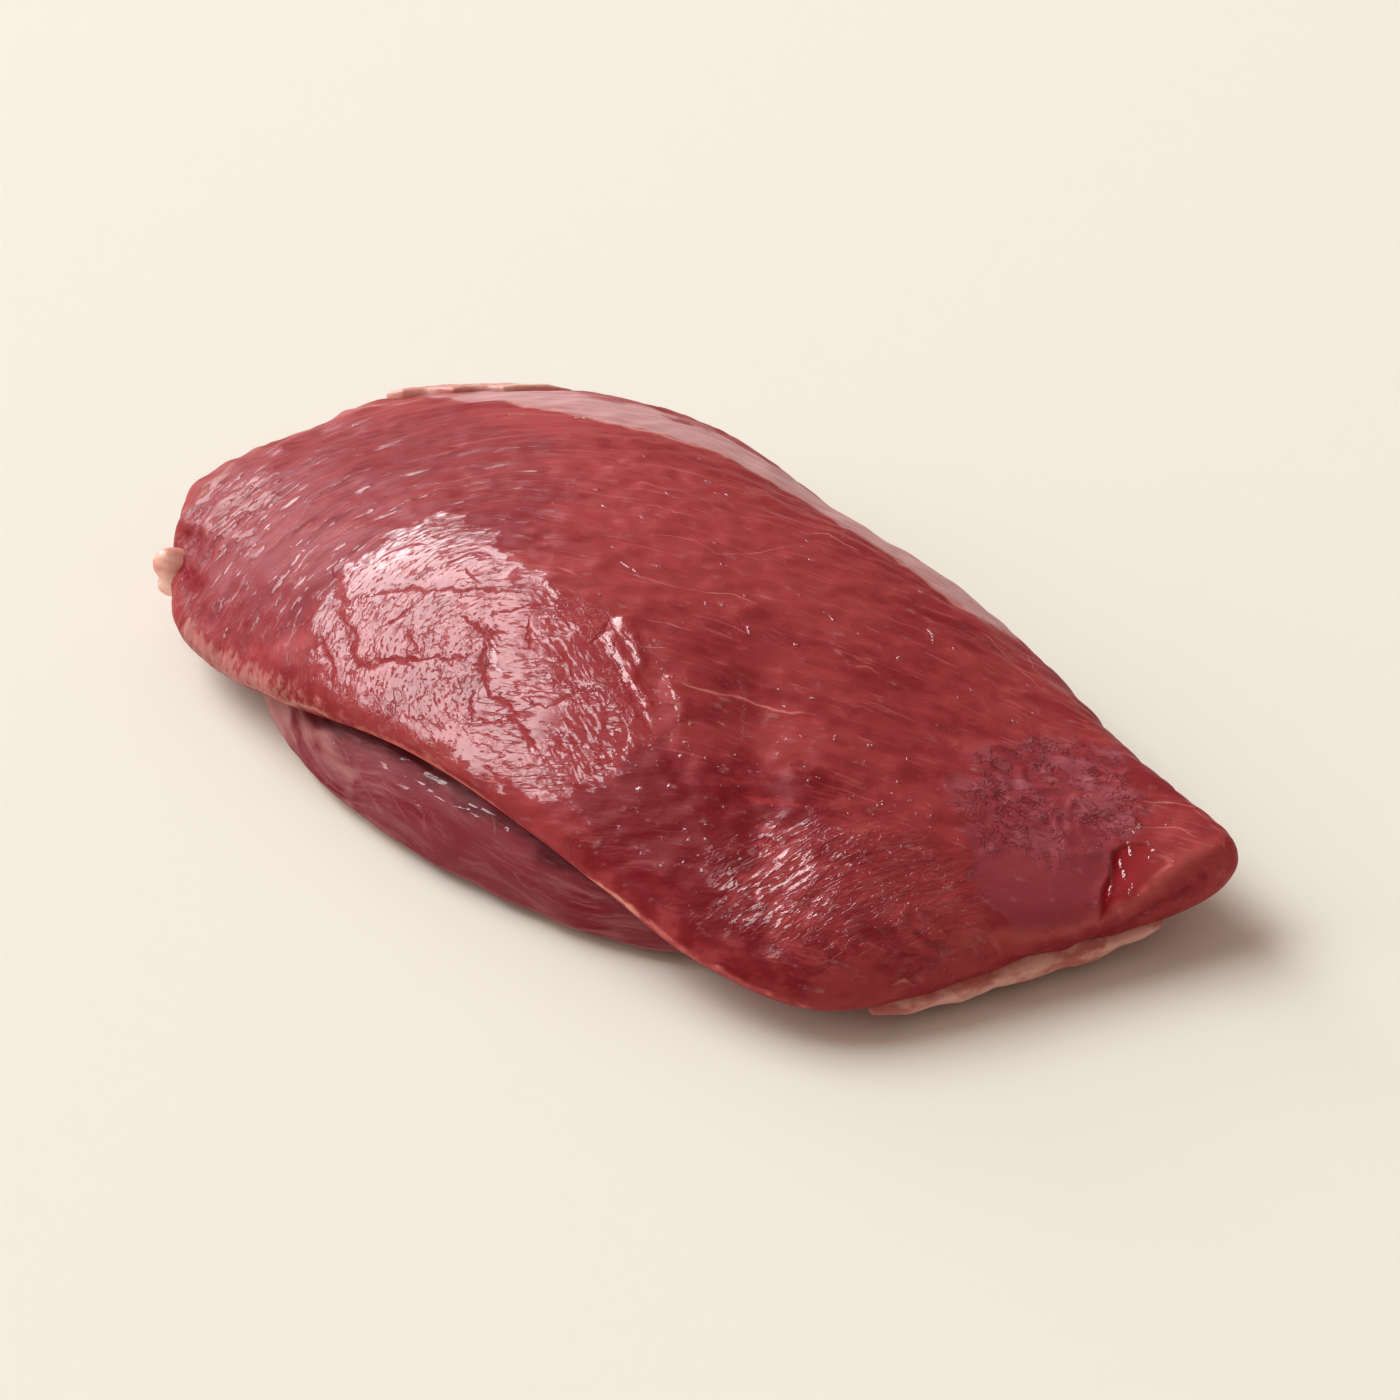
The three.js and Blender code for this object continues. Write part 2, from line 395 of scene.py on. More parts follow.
# The silverskin lies over the back edge behind this line, and wraps down over the side.
SILVER_LINE = [(470, 402), (504, 402), (567, 412), (634, 428), (660, 434), (697, 447), (718, 452), (745, 468),
               (770, 481), (796, 495), (820, 510), (845, 527), (870, 543), (895, 558), (940, 592), (964, 610),
               (987, 625), (1010, 636), (1022, 646)]
SILVER_START_MM = (-17, 1)
SILVER_END_MM = (-14, 6)
SILVER_WIDE_MM = (8, 17)
silver_line = on_breast(SILVER_LINE)
line_y, line_z = (np.interp(places[:, 0], silver_line[:, 0], silver_line[:, axis]) for axis in (1, 2))
ragged = places[:, 0] + 5 * ripple(places, 5, 17)
silver_start = fade(ragged - silver_line[0, 0], *SILVER_START_MM)
silver_ends = silver_start * (1 - fade(ragged - silver_line[-1, 0], *SILVER_END_MM))
behind = places[:, 1] - line_y
silver_off = np.hypot(behind, height - line_z) + 4 * ripple(places, (9, 5, 4), 18)
silver = fade(behind + 0.6 * ripple(places, 3, 62), -0.5, 1.0) * (1 - fade(silver_off, *SILVER_WIDE_MM))
silver *= silver_ends * sole
silver_gap = gap_to(places, silver_line, 6)[0]

# The lip is the front lower edge of the breast, a smooth orange-red band over the inner fillet. At the tail it
# goes on as a rolled edge with a groove under it.
LIP_LINE = [(220, 680), (262, 690), (312, 709), (367, 735), (434, 771), (495, 814), (546, 847), (614, 897),
            (668, 940), (708, 966), (748, 988), (783, 1000), (820, 1014)]
TAIL_LIP = [(930, 942), (985, 938), (1038, 935), (1076, 928), (1097, 918), (1129, 902), (1156, 884),
            (1183, 863), (1200, 852), (1225, 838)]
lip_gap, lip_along, _ = gap_to(places, on_breast(LIP_LINE), 9)
tail_gap, tail_along, _ = gap_to(places, on_breast(TAIL_LIP), 9)
TAIL_GROOVE = [(960, 962), (1000, 962), (1062, 956), (1094, 941), (1135, 920), (1175, 897), (1205, 878)]
groove_gap, groove_along, _ = gap_to(places, on_breast(TAIL_GROOVE), 9)

# Creases are places where the membrane has split or folded: width and depth in millimetres, then pixels.
CREASES = [
    (0.50, 0.22, [(335, 569), (340, 579), (340, 601), (343, 621), (354, 637), (356, 648), (353, 671)]),
    (0.25, 0.12, [(340, 602), (356, 603)]),
    (0.45, 0.20, [(353, 671), (375, 663), (400, 661), (421, 658)]),
    (0.40, 0.18, [(321, 635), (325, 651), (329, 666), (334, 686)]),
    (0.30, 0.15, [(403, 630), (411, 640), (417, 651)]),
    (0.30, 0.15, [(382, 626), (395, 619), (408, 611)]),
    (0.35, 0.15, [(367, 597), (385, 592), (411, 587), (446, 588), (469, 588), (487, 586), (520, 590)]),
    (0.60, 0.28, [(462, 616), (473, 621), (482, 630), (486, 642), (479, 657), (482, 676), (489, 691)]),
    (0.30, 0.15, [(482, 629), (505, 633)]),
    (0.50, 0.25, [(489, 691), (501, 704), (517, 724), (532, 745), (540, 757)]),
    (0.30, 0.15, [(467, 689), (466, 704), (471, 719), (479, 722), (494, 716)]),
    (0.30, 0.12, [(447, 653), (456, 650), (459, 659)]),
    (0.35, 0.18, [(527, 617), (526, 630), (528, 645)]),
    (0.25, 0.12, [(466, 566), (476, 577)]),
    (0.25, 0.12, [(496, 610), (517, 606), (545, 602)]),
    (0.40, 0.20, [(590, 640), (596, 635), (606, 628), (610, 618)]),
    (0.30, 0.15, [(563, 653), (570, 666), (575, 679)]),
    (0.30, 0.15, [(530, 694), (545, 704), (558, 702), (575, 694), (596, 689)]),
    (0.25, 0.10, [(421, 658), (436, 652), (447, 653)]),
    (0.45, 0.20, [(611, 640), (622, 668), (634, 700), (652, 733)]),
    (0.25, 0.10, [(450, 560), (470, 552), (492, 556)]),
    (0.25, 0.10, [(380, 560), (402, 548), (425, 545)]),
    (1.6, 0.30, [(644, 691), (662, 716), (672, 747), (676, 773), (684, 798), (690, 829)]),
    (1.8, 0.25, [(690, 829), (700, 864), (712, 900), (735, 935)]),
    (0.35, 0.20, [(740, 795), (760, 801), (790, 806), (815, 804)]),
    (0.40, 0.18, [(748, 846), (775, 842), (800, 838)]),
    (0.30, 0.20, [(738, 622), (746, 627), (750, 631)]),
]
RIDGES = [
    (0.9, 0.42, [(622, 613), (629, 630), (636, 648), (643, 668)]),
    (0.9, 0.38, [(607, 632), (618, 650), (629, 670), (641, 690), (651, 712)]),
    (0.7, 0.25, [(669, 673), (676, 690), (681, 712), (685, 726)]),
    (0.6, 0.20, [(700, 690), (725, 697), (755, 705), (785, 714), (815, 713)]),
    (0.6, 0.20, [(905, 930), (903, 915), (908, 902)]),
]
# Films of wet that catch the light: half width in millimetres, then pixels.
GLEAMS = [
    (0.60, [(618, 617), (624, 629), (629, 636)]),
    (0.60, [(629, 642), (634, 652), (640, 666)]),
    (0.75, [(603, 636), (608, 645), (614, 656)]),
    (0.55, [(614, 656), (620, 668), (627, 678)]),
    (0.38, [(629, 676), (637, 690), (644, 705)]),
    (0.24, [(643, 705), (650, 720)]),
    (0.22, [(619, 681), (630, 696), (634, 718)]),
    (0.30, [(665, 673), (672, 688)]),
    (0.32, [(674, 694), (677, 710)]),
    (0.24, [(678, 716), (681, 725)]),
    (0.24, [(688, 741), (692, 755)]),
    (0.35, [(629, 736), (627, 746), (620, 753)]),
    (0.24, [(620, 753), (608, 757), (597, 758)]),
    (0.60, [(486, 640), (490, 655), (497, 666)]),
    (0.45, [(526, 752), (532, 748)]),
    (0.50, [(547, 582), (553, 587), (558, 591)]),
    (0.25, [(740, 680), (745, 696), (743, 740)]),
    (0.35, [(905, 925), (904, 912), (909, 900)]),
    (0.40, [(355, 424), (370, 417)]),
]
# Beads of wet that stand up and sparkle.
BEADS = [
    (0.40, [(749, 627), (750, 634)]),
    (0.28, [(706, 481), (712, 483)]),
    (0.26, [(666, 493), (669, 495)]),
    (0.26, [(650, 511), (651, 511)]),
    (0.26, [(641, 516), (644, 518)]),
    (0.28, [(603, 504), (608, 505)]),
    (0.28, [(706, 602), (707, 604)]),
    (0.28, [(622, 561), (629, 566)]),
    (0.28, [(634, 569), (641, 574)]),
    (0.26, [(928, 628), (933, 636), (934, 642)]),
    (0.26, [(824, 612), (831, 615), (834, 619)]),
    (0.26, [(898, 660), (899, 656), (902, 657), (902, 661)]),
    (0.30, [(835, 740), (836, 736)]),
    (0.34, [(908, 757), (908, 759)]),
    (0.30, [(801, 736), (806, 735)]),
    (0.26, [(784, 706), (785, 707)]),
    (0.30, [(883, 802), (883, 806)]),
    (0.26, [(950, 780), (951, 781)]),
    (0.34, [(1111, 864), (1113, 869)]),
    (0.38, [(1112, 873), (1113, 880)]),
    (0.44, [(1113, 884), (1111, 890)]),
    (0.40, [(1111, 893), (1110, 895)]),
    (0.30, [(1107, 900), (1108, 902)]),
    (0.34, [(1121, 860), (1122, 866)]),
    (0.34, [(1124, 871), (1125, 877)]),
    (0.30, [(1133, 885), (1134, 887)]),
    (0.28, [(1130, 890), (1130, 896)]),
    (0.26, [(1138, 895), (1138, 896)]),
    (0.28, [(1150, 857), (1150, 858)]),
    (0.26, [(1134, 831), (1134, 833)]),
    (0.24, [(1167, 824), (1167, 825)]),
    (0.38, [(1129, 843), (1131, 846)]),
    (0.42, [(1131, 850), (1132, 854)]),
    (0.28, [(1149, 845), (1150, 846)]),
    (0.30, [(1153, 850), (1157, 851)]),
    (0.26, [(1137, 829), (1140, 825)]),
    (0.26, [(1172, 860), (1173, 861)]),
]
# Thin pale threads of tissue that lie on the flesh.
THREADS = [
    (0.15, [(641, 573), (656, 581), (671, 585), (696, 589), (720, 594), (733, 594), (750, 601), (761, 608)]),
    (0.14, [(643, 616), (662, 621), (677, 626), (694, 631)]),
    (0.15, [(688, 612), (705, 616), (720, 622), (733, 627), (746, 633)]),
    (0.13, [(632, 486), (641, 481), (662, 488), (686, 492)]),
    (0.13, [(643, 504), (658, 505), (673, 514), (694, 517)]),
    (0.14, [(649, 535), (671, 535), (690, 539), (703, 546), (716, 553), (748, 554), (771, 550), (797, 544)]),
    (0.14, [(804, 533), (827, 535), (844, 544), (861, 552)]),
    (0.13, [(814, 529), (836, 533), (857, 541), (876, 554), (898, 565)]),
    (0.28, [(684, 685), (701, 690), (723, 694), (743, 699), (762, 707), (790, 714), (815, 713)]),
    (0.14, [(638, 647), (652, 646), (667, 648)]),
    (0.15, [(555, 565), (566, 570), (579, 575)]),
    (0.17, [(856, 665), (868, 667), (879, 674)]),
    (0.12, [(973, 625), (996, 644), (1019, 670), (1042, 688)]),
    (0.15, [(1021, 647), (1028, 656), (1035, 670), (1063, 690), (1079, 704)]),
    (0.16, [(1140, 803), (1165, 800), (1190, 806), (1212, 822)]),
    (0.14, [(1120, 832), (1150, 826), (1180, 828), (1200, 838)]),
    (0.13, [(1212, 822), (1222, 836), (1224, 852)]),
    (0.13, [(1190, 806), (1214, 812), (1234, 834)]),
]
waver = wobble(places, 3.5, 63)
shake = wobble(places, 1.2, 66)
wavering = places + 0.7 * waver + 0.22 * shake
slightly = places + 0.2 * waver + 0.1 * shake
relief = np.zeros(len(places))
for width, depth, pixels in CREASES:
    gap, part, _ = gap_to(wavering, on_breast(pixels), width * 5)
    relief -= 0.6 * depth * bulge(gap, max(width, 0.6)) * taper(part, 0.2, 0.4)
for width, rise, pixels in RIDGES:
    gap, part, _ = gap_to(wavering, on_breast(pixels), width * 4)
    relief += rise * bulge(gap, width) * taper(part, 0.1)


LINE_REACH_MM = 3.0
FAR_WIDTHS = 9.0


def lines_of(here, faces, lines):
    """How many half widths off the nearest line each point is: signed by its side, then plain."""
    side = np.full(len(here), FAR_WIDTHS)
    gap = np.full(len(here), FAR_WIDTHS)
    for width, pixels in lines:
        off, part, left_or_right = gap_to(here, seen_points(faces, pixels), LINE_REACH_MM)
        near = np.nonzero(off < LINE_REACH_MM)[0]
        scaled = off[near] / (width * taper(part[near], 0.2, 0.4))
        nearer = scaled < gap[near]
        chosen = near[nearer]
        gap[chosen] = scaled[nearer]
        side[chosen] = scaled[nearer] * left_or_right[chosen]
    return side, gap


def spots_of(here, faces, lines):
    """How many half widths off the nearest of these blunt lines each point is."""
    nearest = np.full(len(here), FAR_WIDTHS)
    for width, pixels in lines:
        gap = gap_to(here, seen_points(faces, pixels), LINE_REACH_MM)[0]
        nearest = np.minimum(nearest, gap / width)
    return nearest


# The narrow creases are split open, and the painted shade in them is drawn as a dark line wider than the
# crease.
SPLIT_WIDER = 1.9
splits = [(SPLIT_WIDER * width, pixels) for width, _, pixels in CREASES if width < 1]
split_side, split_gap = lines_of(wavering, breast_faces, splits)
thread_side, thread_gap = lines_of(slightly, breast_faces, THREADS)
gleam = 1 - fade(spots_of(slightly, breast_faces, GLEAMS), 0.6, 1.4)
bead_gap = spots_of(places, breast_faces, BEADS)

# The lobe of paler flesh under the shoulder, the pale edge that the skin left along the back, a bit of sinew
# at the tail's edge, and the wet notch.
LOBE_MIDDLE = [(188, 634), (200, 652), (222, 672), (262, 688), (315, 702)]
LOBE_EDGE = [(186, 654), (200, 672), (215, 687), (240, 695), (270, 700), (300, 706), (322, 714)]
BACK_EDGE = [(178, 515), (230, 466), (300, 428), (372, 405), (430, 399), (470, 399)]
SINEW = [(895, 985), (905, 983), (912, 988), (914, 992)]
lobe_gap, lobe_along, _ = gap_to(wavering, on_breast(LOBE_MIDDLE), 9)
lobe = (1 - fade(lobe_gap, 0.5, 5.0)) * (1 - 0.5 * fade(lobe_along, 0.6, 1.0))
notch_gap = gap_to(places, on_breast(NOTCH_EDGE), 9)[0]
notch = pool * (1 - fade(notch_gap, 0.0, 4.0))
groove = bulge(groove_gap, 1.3) * fade(groove_along, 0.0, 0.2)

# Wrinkles of the membrane on the hump run across the grain, and it is crumpled beside the tail.
WRINKLE_TURN = math.radians(62)
fold_along = places[:, 0] * math.cos(WRINKLE_TURN) + places[:, 1] * math.sin(WRINKLE_TURN)
fold_across = places[:, 1] * math.cos(WRINKLE_TURN) - places[:, 0] * math.sin(WRINKLE_TURN)
folds = np.stack([fold_along + 1.5 * ripple(places, 5, 6), fold_across, height * 0], axis=1)
warped = places + 2.5 * ripple(places, 6, 10)[:, None]
crumples = 0.30 * (1 - 2 * np.abs(ripple(warped, (4.5, 3.0, 4.5), 11))) + 0.12 * ripple(warped, 1.8, 13)
relief += crumples * crumple

# Broad hills, then the fibres: long low ridges that follow the grain, strongest at the shoulder.
# For each: height in millimetres, what the pattern lies along, size of a hill, seed, and where it shows.
calm = (1 - np.clip(dome * 0.85 + hump * 0.6 + veil * 0.7 + pool + silver, 0, 1)) * fade(lip_gap, 2.0, 5.0)
LEFT_END_MM = (-80, -62)
left_end = 1 - fade(places[:, 0], *LEFT_END_MM)
for rise, pattern, cell, seed, where in (
    (0.26, places, 15, 1, top * (1 - 0.8 * dome)),
    (0.12, places, 6, 2, top * (1 - 0.85 * silver) * (1 - 0.6 * dome)),
    (0.30, grain, (6, 2.6, 30), 3, calm * top),
    (0.18, grain, (3.4, 1.6, 30), 4, calm * top),
    (0.12, places, 2.6, 15, calm * top),
    (0.05, grain, (6, 2.6, 30), 5, dome),
    (0.16, folds, (5, 2.0, 30), 7, hump),
    (0.10, places, 2.6, 9, left),
    (0.45, places, 6, 12, lobe),
    (0.70, places, 4.5, 14, left_end),
    (0.35, places, 4.5, 16, silver),
):
    relief += rise * ripple(pattern, cell, seed) * where

# The dome is pressed nearly flat where it shines, and there is a pit at the left tip. The tail's edge is
# rolled, with a groove under it, and the membrane ends at a wet notch.
DOME_MIDDLE = [(478, 672), (479, 673)]
off_dome = np.linalg.norm(places - on_breast(DOME_MIDDLE)[0], axis=1)
for rise, where in (
    (-1.1, bulge(off_dome, 16)),
    (-0.7, pit),
    (0.30, bulge(tail_gap, 1.5)),
    (-0.35, groove),
    (-0.25, notch),
    (0.10, bulge(notch_gap, 0.8) * (1 - pool)),
    (0.25, bulge(silver_gap, 0.6) * silver),
):
    relief += rise * where
move_points(breast.data, places + facing * (relief * sole)[:, None])

# What the material reads: how strongly each zone and line shows at each point.
# The lips are wide or strong in some parts, and these pairs say where along them.
LIP_WIDTH_MM = [(0.0, 2.6), (0.45, 2.6), (0.65, 0.9), (1.0, 0.8)]
LIP_STRENGTH = [(0, 0), (0.05, 0.2), (0.22, 0.4), (0.34, 1), (0.55, 0.9), (0.75, 0.4), (1, 0.4)]
TAIL_LIP_STRENGTH = [(0, 0), (0.1, 0.6), (0.5, 0.7), (0.65, 1), (0.92, 0.8), (1, 0.3)]
lip = 1 - fade(lip_gap / profile(lip_along, LIP_WIDTH_MM), 0.4, 1.5)
lip *= profile(lip_along, LIP_STRENGTH)
tail_lip = bulge(tail_gap, 1.0) * profile(tail_along, TAIL_LIP_STRENGTH)
pale_edge = bulge(lip_gap, 0.45) * fade(lip_along, 0.42, 0.50) * (1 - fade(lip_along, 0.72, 0.80))
pale_edge = np.maximum(pale_edge, 0.42 * bulge(gap_to(places, on_breast(BACK_EDGE), 4)[0], 1.4))
pale_edge = np.maximum(pale_edge, 0.55 * bulge(gap_to(slightly, on_breast(LOBE_EDGE), 6)[0], 0.9))
sinew = 0.8 * bulge(gap_to(wavering, on_breast(SINEW), 2)[0], 0.30)
sinew = np.maximum(sinew, bulge(silver_gap, 0.5) * silver_ends)
unseen = 1 - fade(facing @ towards_camera, -0.15, 0.15)
whole = fade(lip_gap, 2.8, 3.5)
masks = {
    "dome": dome * whole,
    "right": dome_right,
    "pool": np.maximum(pool * 0.7 * (1 - fade(notch_gap, 2.5, 8.0)), notch),
    "shoulder": shoulder * whole,
    "left": left * whole,
    "hump": hump * whole,
    "lip": lip,
    "tail lip": tail_lip,
    "silver": silver,
    "veil": np.clip(veil + 0.6 * crumple, 0, 1),
    # Painted shade: the darker front zone, and the groove under the tail's lip.
    "deep": np.clip(deep + 0.5 * groove, 0, 1),
    "lobe": lobe,
    "upper": upper,
    "front": front,
    "pit": pit,
    "crumple": crumple,
    "sparkling": sparkling,
    "unseen": unseen,
    "calm": calm * np.maximum(top, 0.7 * unseen * fade(facing[:, 2], -0.8, -0.4)),
    "split side": split_side,
    "split gap": split_gap,
    "thread side": thread_side,
    "thread gap": thread_gap,
    "bead gap": bead_gap,
    "gleam": gleam,
    "sinew": sinew,
    "edge": pale_edge,
}
keep(breast.data, masks)
attribute(breast.data, "grain", (along, across, height + 0.15 * aside))
attribute(breast.data, "folds", (folds[:, 0], folds[:, 1], height))


def linear(colour):
    """An sRGB hex colour as the linear one that a shader takes."""
    parts = [int(colour[i:i + 2], 16) / 255 for i in (1, 3, 5)]
    return [p / 12.92 if p <= 0.04045 else ((p + 0.055) / 1.055) ** 2.4 for p in parts] + [1.0]


def new_material(name):
    """A material with an empty tree."""
    made = bpy.data.materials.new(name)
    made.use_nodes = True
    made.node_tree.nodes.clear()
    return made


def put_on(piece, material):
    """Gives a piece this material alone, and shades it smooth."""
    piece.data.materials.clear()
    piece.data.materials.append(material)
    piece.data.shade_smooth()


def add(kind, inputs, out=0, **settings):
    """Adds a node to the tree at hand with its settings, links or fills its inputs, and returns an output.

    The inputs come by name or number, or in their own order.
    """
    if isinstance(inputs, tuple):
        inputs = dict(enumerate(inputs))
    node = tree.nodes.new(kind)
    for name, value in settings.items():
        setattr(node, name, value)
    for name, value in inputs.items():
        if isinstance(value, bpy.types.NodeSocket):
            tree.links.new(value, node.inputs[name])
        else:
            node.inputs[name].default_value = value
    return node.outputs[out] if len(node.outputs) else node


# Raw duck muscle under its membrane: deep red with a mauve cast, faint darker and paler lines along the
# fibres, and a wet coat that shines where the membrane is whole. Painted shade darkens its front's lower face,
# the valley before the hump, the creases, cracks, groove and pit.
FLESH = "#9b353a"
FLESH_DEEP = "#80242c"
FLESH_LIGHT = "#ab474a"
FIBRE_LINE = "#b9625e"
UPPER_RED = "#a64145"
SHOULDER_RED = "#862a31"
LIP_RED = "#e07a72"
SILVERSKIN = "#b6828d"
SILVERSKIN_PALE = "#d4aba6"
VEIL_MAUVE = "#96424b"
MEMBRANE_MAUVE = "#a0545c"
# Painted shade: the darker red laid on the front zone, the groove and the crumpled membrane's cracks.
PAINTED_SHADE_RED = "#78181f"
LOBE_PINK = "#c98f88"
POOL_RED = "#8c0f1b"
# Painted shade in the pit at the left tip.
PIT_SHADE_RED = "#7d0f1a"
# Painted shade in the dome's cracks, the split creases and the film's dark slits.
CRACK_SHADE_RED = "#982a30"
SINEW_PALE = "#d4a198"
THREAD_PALE = "#cf837c"
EDGE_CREAM = "#dfac98"
# Noises that the material is made of: how many waves a millimetre along the fibres, across them and through,
# then detail and roughness. Fibres are 0.05 mm thick, which is too fine to show, so the finest lines are
# drawn 0.4 mm apart. The last two lie along the folds on the hump.
NOISES = {
    "broad": ((0.05, 0.11, 0.11), 3, 0.5),
    "bands": ((0.11, 0.42, 0.3), 3, 0.55),
    "lines": ((0.07, 1.0, 0.6), 4, 0.6),
    "threads": ((0.16, 2.4, 1.5), 3, 0.6),
    "blots": ((0.35, 0.6, 0.6), 4, 0.6),
    "dashes": ((0.25, 1.0, 0.5), 3, 0.55),
    "long cracks": ((0.13, 0.75, 0.5), 3, 0.55),
    "short cracks": ((0.60, 0.80, 0.7), 3, 0.6),
    "patches": ((0.16, 0.22, 0.2), 2, 0.5),
    "plates": ((0.13, 0.20, 0.2), 6, 0.65),
    "hairs": ((0.42, 2.0, 1.4), 3, 0.55),
    "filaments": ((0.05, 1.7, 0.5), 2, 0.5),
    "folds": ((0.28, 0.75, 0.3), 3, 0.6),
    "fold strokes": ((0.48, 1.7, 0.3), 2, 0.5),
}
# Two more are turned by an angle in the plane of the table.
TURNED_NOISES = {
    "front": (math.radians(30), (0.09, 0.9, 0.5)),
    "wrinkles": (math.radians(22), (0.42, 1.9, 0.6)),
}

flesh = new_material("raw_duck_muscle_under_membrane")
tree = flesh.node_tree
MATH = "ShaderNodeMath"
RANGE = "ShaderNodeMapRange"
MIX = "ShaderNodeMix"
VECTOR = "ShaderNodeVectorMath"
NOISE = "ShaderNodeTexNoise"
SOFT = {"interpolation_type": "SMOOTHSTEP"}
TINT = {"out": 2, "data_type": "RGBA"}
TIMES = {"operation": "MULTIPLY"}
PLUS = {"operation": "ADD"}
MOST = {"operation": "MAXIMUM"}

mask = {}
for names in by_threes(masks):
    read = add("ShaderNodeAttribute", {}, "Vector", attribute_name=" ".join(names))
    mask.update(zip(names, add("ShaderNodeSeparateXYZ", {0: read}).node.outputs))
grain_at = add("ShaderNodeAttribute", {}, "Vector", attribute_name="grain")
fold_at = add("ShaderNodeAttribute", {}, "Vector", attribute_name="folds")
object_at = add("ShaderNodeTexCoord", {}, "Object")
noise = {}
for name, (waves, detail, rough) in NOISES.items():
    at = add(VECTOR, (fold_at if "fold" in name else grain_at, waves), **TIMES)
    noise[name] = add(NOISE, {"Vector": at, "Scale": 1.0, "Detail": detail, "Roughness": rough})
for name, (turn, waves) in TURNED_NOISES.items():
    at = add("ShaderNodeVectorRotate", {"Vector": object_at, "Angle": turn}, rotation_type="Z_AXIS")
    at = add(VECTOR, (at, [wave * 1000 for wave in waves]), **TIMES)
    noise[name] = add(NOISE, {"Vector": at, "Scale": 1.0, "Detail": 3, "Roughness": 0.55})
strands = add(MIX, {0: mask["front"], 2: noise["lines"], 3: noise["front"]})

# The colour is laid on in layers, each with its strength: first soft darker and paler patches and bands that
# are drawn out along the fibres.
patchy = add(RANGE, {0: noise["broad"], 1: 0.32, 2: 0.68}, **SOFT)
light_band = add(RANGE, {0: noise["bands"], 1: 0.42, 2: 0.70, 4: 0.45}, **SOFT)
dark_band = add(RANGE, {0: noise["bands"], 1: 0.52, 2: 0.30, 4: 0.30}, **SOFT)
layers = [(patchy, FLESH_LIGHT), (0.5, FLESH), (light_band, FLESH_LIGHT), (dark_band, FLESH_DEEP)]
# Then the zones, with wavering edges, or streaky ones on the lobe. The deep zone and the pit are painted
# shade.
wavering = add(RANGE, {0: noise["blots"], 1: 0.3, 2: 0.7, 3: -0.3, 4: 0.3})
streaky = add(RANGE, {0: noise["lines"], 1: 0.35, 2: 0.65, 3: -0.6, 4: 0.1})
for name, shade, most in (
    ("upper", UPPER_RED, 0.6),
    ("shoulder", SHOULDER_RED, 0.7),
    ("deep", PAINTED_SHADE_RED, 0.9),
    ("veil", VEIL_MAUVE, 0.75),
    ("lip", LIP_RED, 0.85),
    ("lobe", LOBE_PINK, 0.60),
    ("pit", PIT_SHADE_RED, 0.85),
):
    part = add(MATH, (mask[name], streaky if name == "lobe" else wavering), **PLUS)
    layers.append((add(RANGE, {0: part, 1: 0.2, 2: 0.8, 4: most}, **SOFT), shade))
layers.append((add(MATH, (mask["tail lip"], 0.40), **TIMES), LIP_RED))
plates = add(RANGE, {0: noise["plates"], 1: 0.49, 2: 0.52}, **SOFT)
part = add(MATH, (plates, mask["crumple"]), **TIMES)
layers.append((add(MATH, (part, 0.75), **TIMES), MEMBRANE_MAUVE))
# Fine dark and pale lines, and pale filaments of tissue, lie along the fibres.
plain = add(RANGE, {0: mask["deep"], 3: 1.0, 4: 0.3})
for source, low, high, most, shade in (
    (strands, 0.44, 0.26, 0.16, FLESH_DEEP),
    (strands, 0.62, 0.80, 0.11, FIBRE_LINE),
    (noise["threads"], 0.60, 0.74, 0.14, FIBRE_LINE),
):
    part = add(RANGE, {0: source, 1: low, 2: high, 4: most}, **SOFT)
    layers.append((add(MATH, (part, plain), **TIMES), shade))
part = add(RANGE, {0: noise["patches"], 1: 0.42, 2: 0.58, 3: 0.10, 4: 0.5}, **SOFT)
filament = add(RANGE, {0: noise["filaments"], 1: 0.61, 2: 0.66, 4: part}, **SOFT)
filament = add(MATH, (filament, mask["calm"]), **TIMES)
filament = add(MATH, (filament, plain), **TIMES)
layers.append((filament, FIBRE_LINE))
# A thread or a split is as thin as its own line in the mesh's numbers, not as the mesh. In half widths: how
# much the fine noise makes it waver, how far it reaches past its ends, and where its edge starts and ends.
line = {}
for name, wavers, beyond, inner, outer in (("thread", 0.7, 1.8, 0.3, 1.1), ("split", 0.6, 1.6, 0.25, 0.95)):
    part = add(RANGE, {0: noise["blots"], 1: 0.3, 2: 0.7, 3: -wavers, 4: wavers})
    part = add(MATH, (mask[name + " side"], part), **PLUS)
    part = add(MATH, {0: part}, operation="ABSOLUTE")
    far = add(MATH, (mask[name + " gap"], beyond), operation="SUBTRACT")
    part = add(MATH, (part, far), **MOST)
    line[name] = add(RANGE, {0: part, 1: inner, 2: outer, 3: 1.0, 4: 0.0}, **SOFT)
part = add(RANGE, {0: noise["bands"], 1: 0.38, 2: 0.56, 3: 0.25, 4: 0.75}, **SOFT)
layers.append((add(MATH, (line["thread"], part), **TIMES), THREAD_PALE))
# The side that faces away from the camera was not seen: the same flesh with a thin wet membrane left on it.
part = add(RANGE, {0: noise["patches"], 1: 0.40, 2: 0.60, 3: 0.15, 4: 0.55}, **SOFT)
layers.append((add(MATH, (part, mask["unseen"]), **TIMES), MEMBRANE_MAUVE))
part = add(RANGE, {0: noise["lines"], 1: 0.25, 2: 0.75}, **SOFT)
silver_colour = add(MIX, {0: part, 6: linear(SILVERSKIN), 7: linear(SILVERSKIN_PALE)}, **TINT)
part = add(MATH, (mask["silver"], wavering), **PLUS)
layers.append((add(RANGE, {0: part, 1: 0.1, 2: 0.8, 4: 0.9}, **SOFT), silver_colour))
layers.append((mask["pool"], POOL_RED))

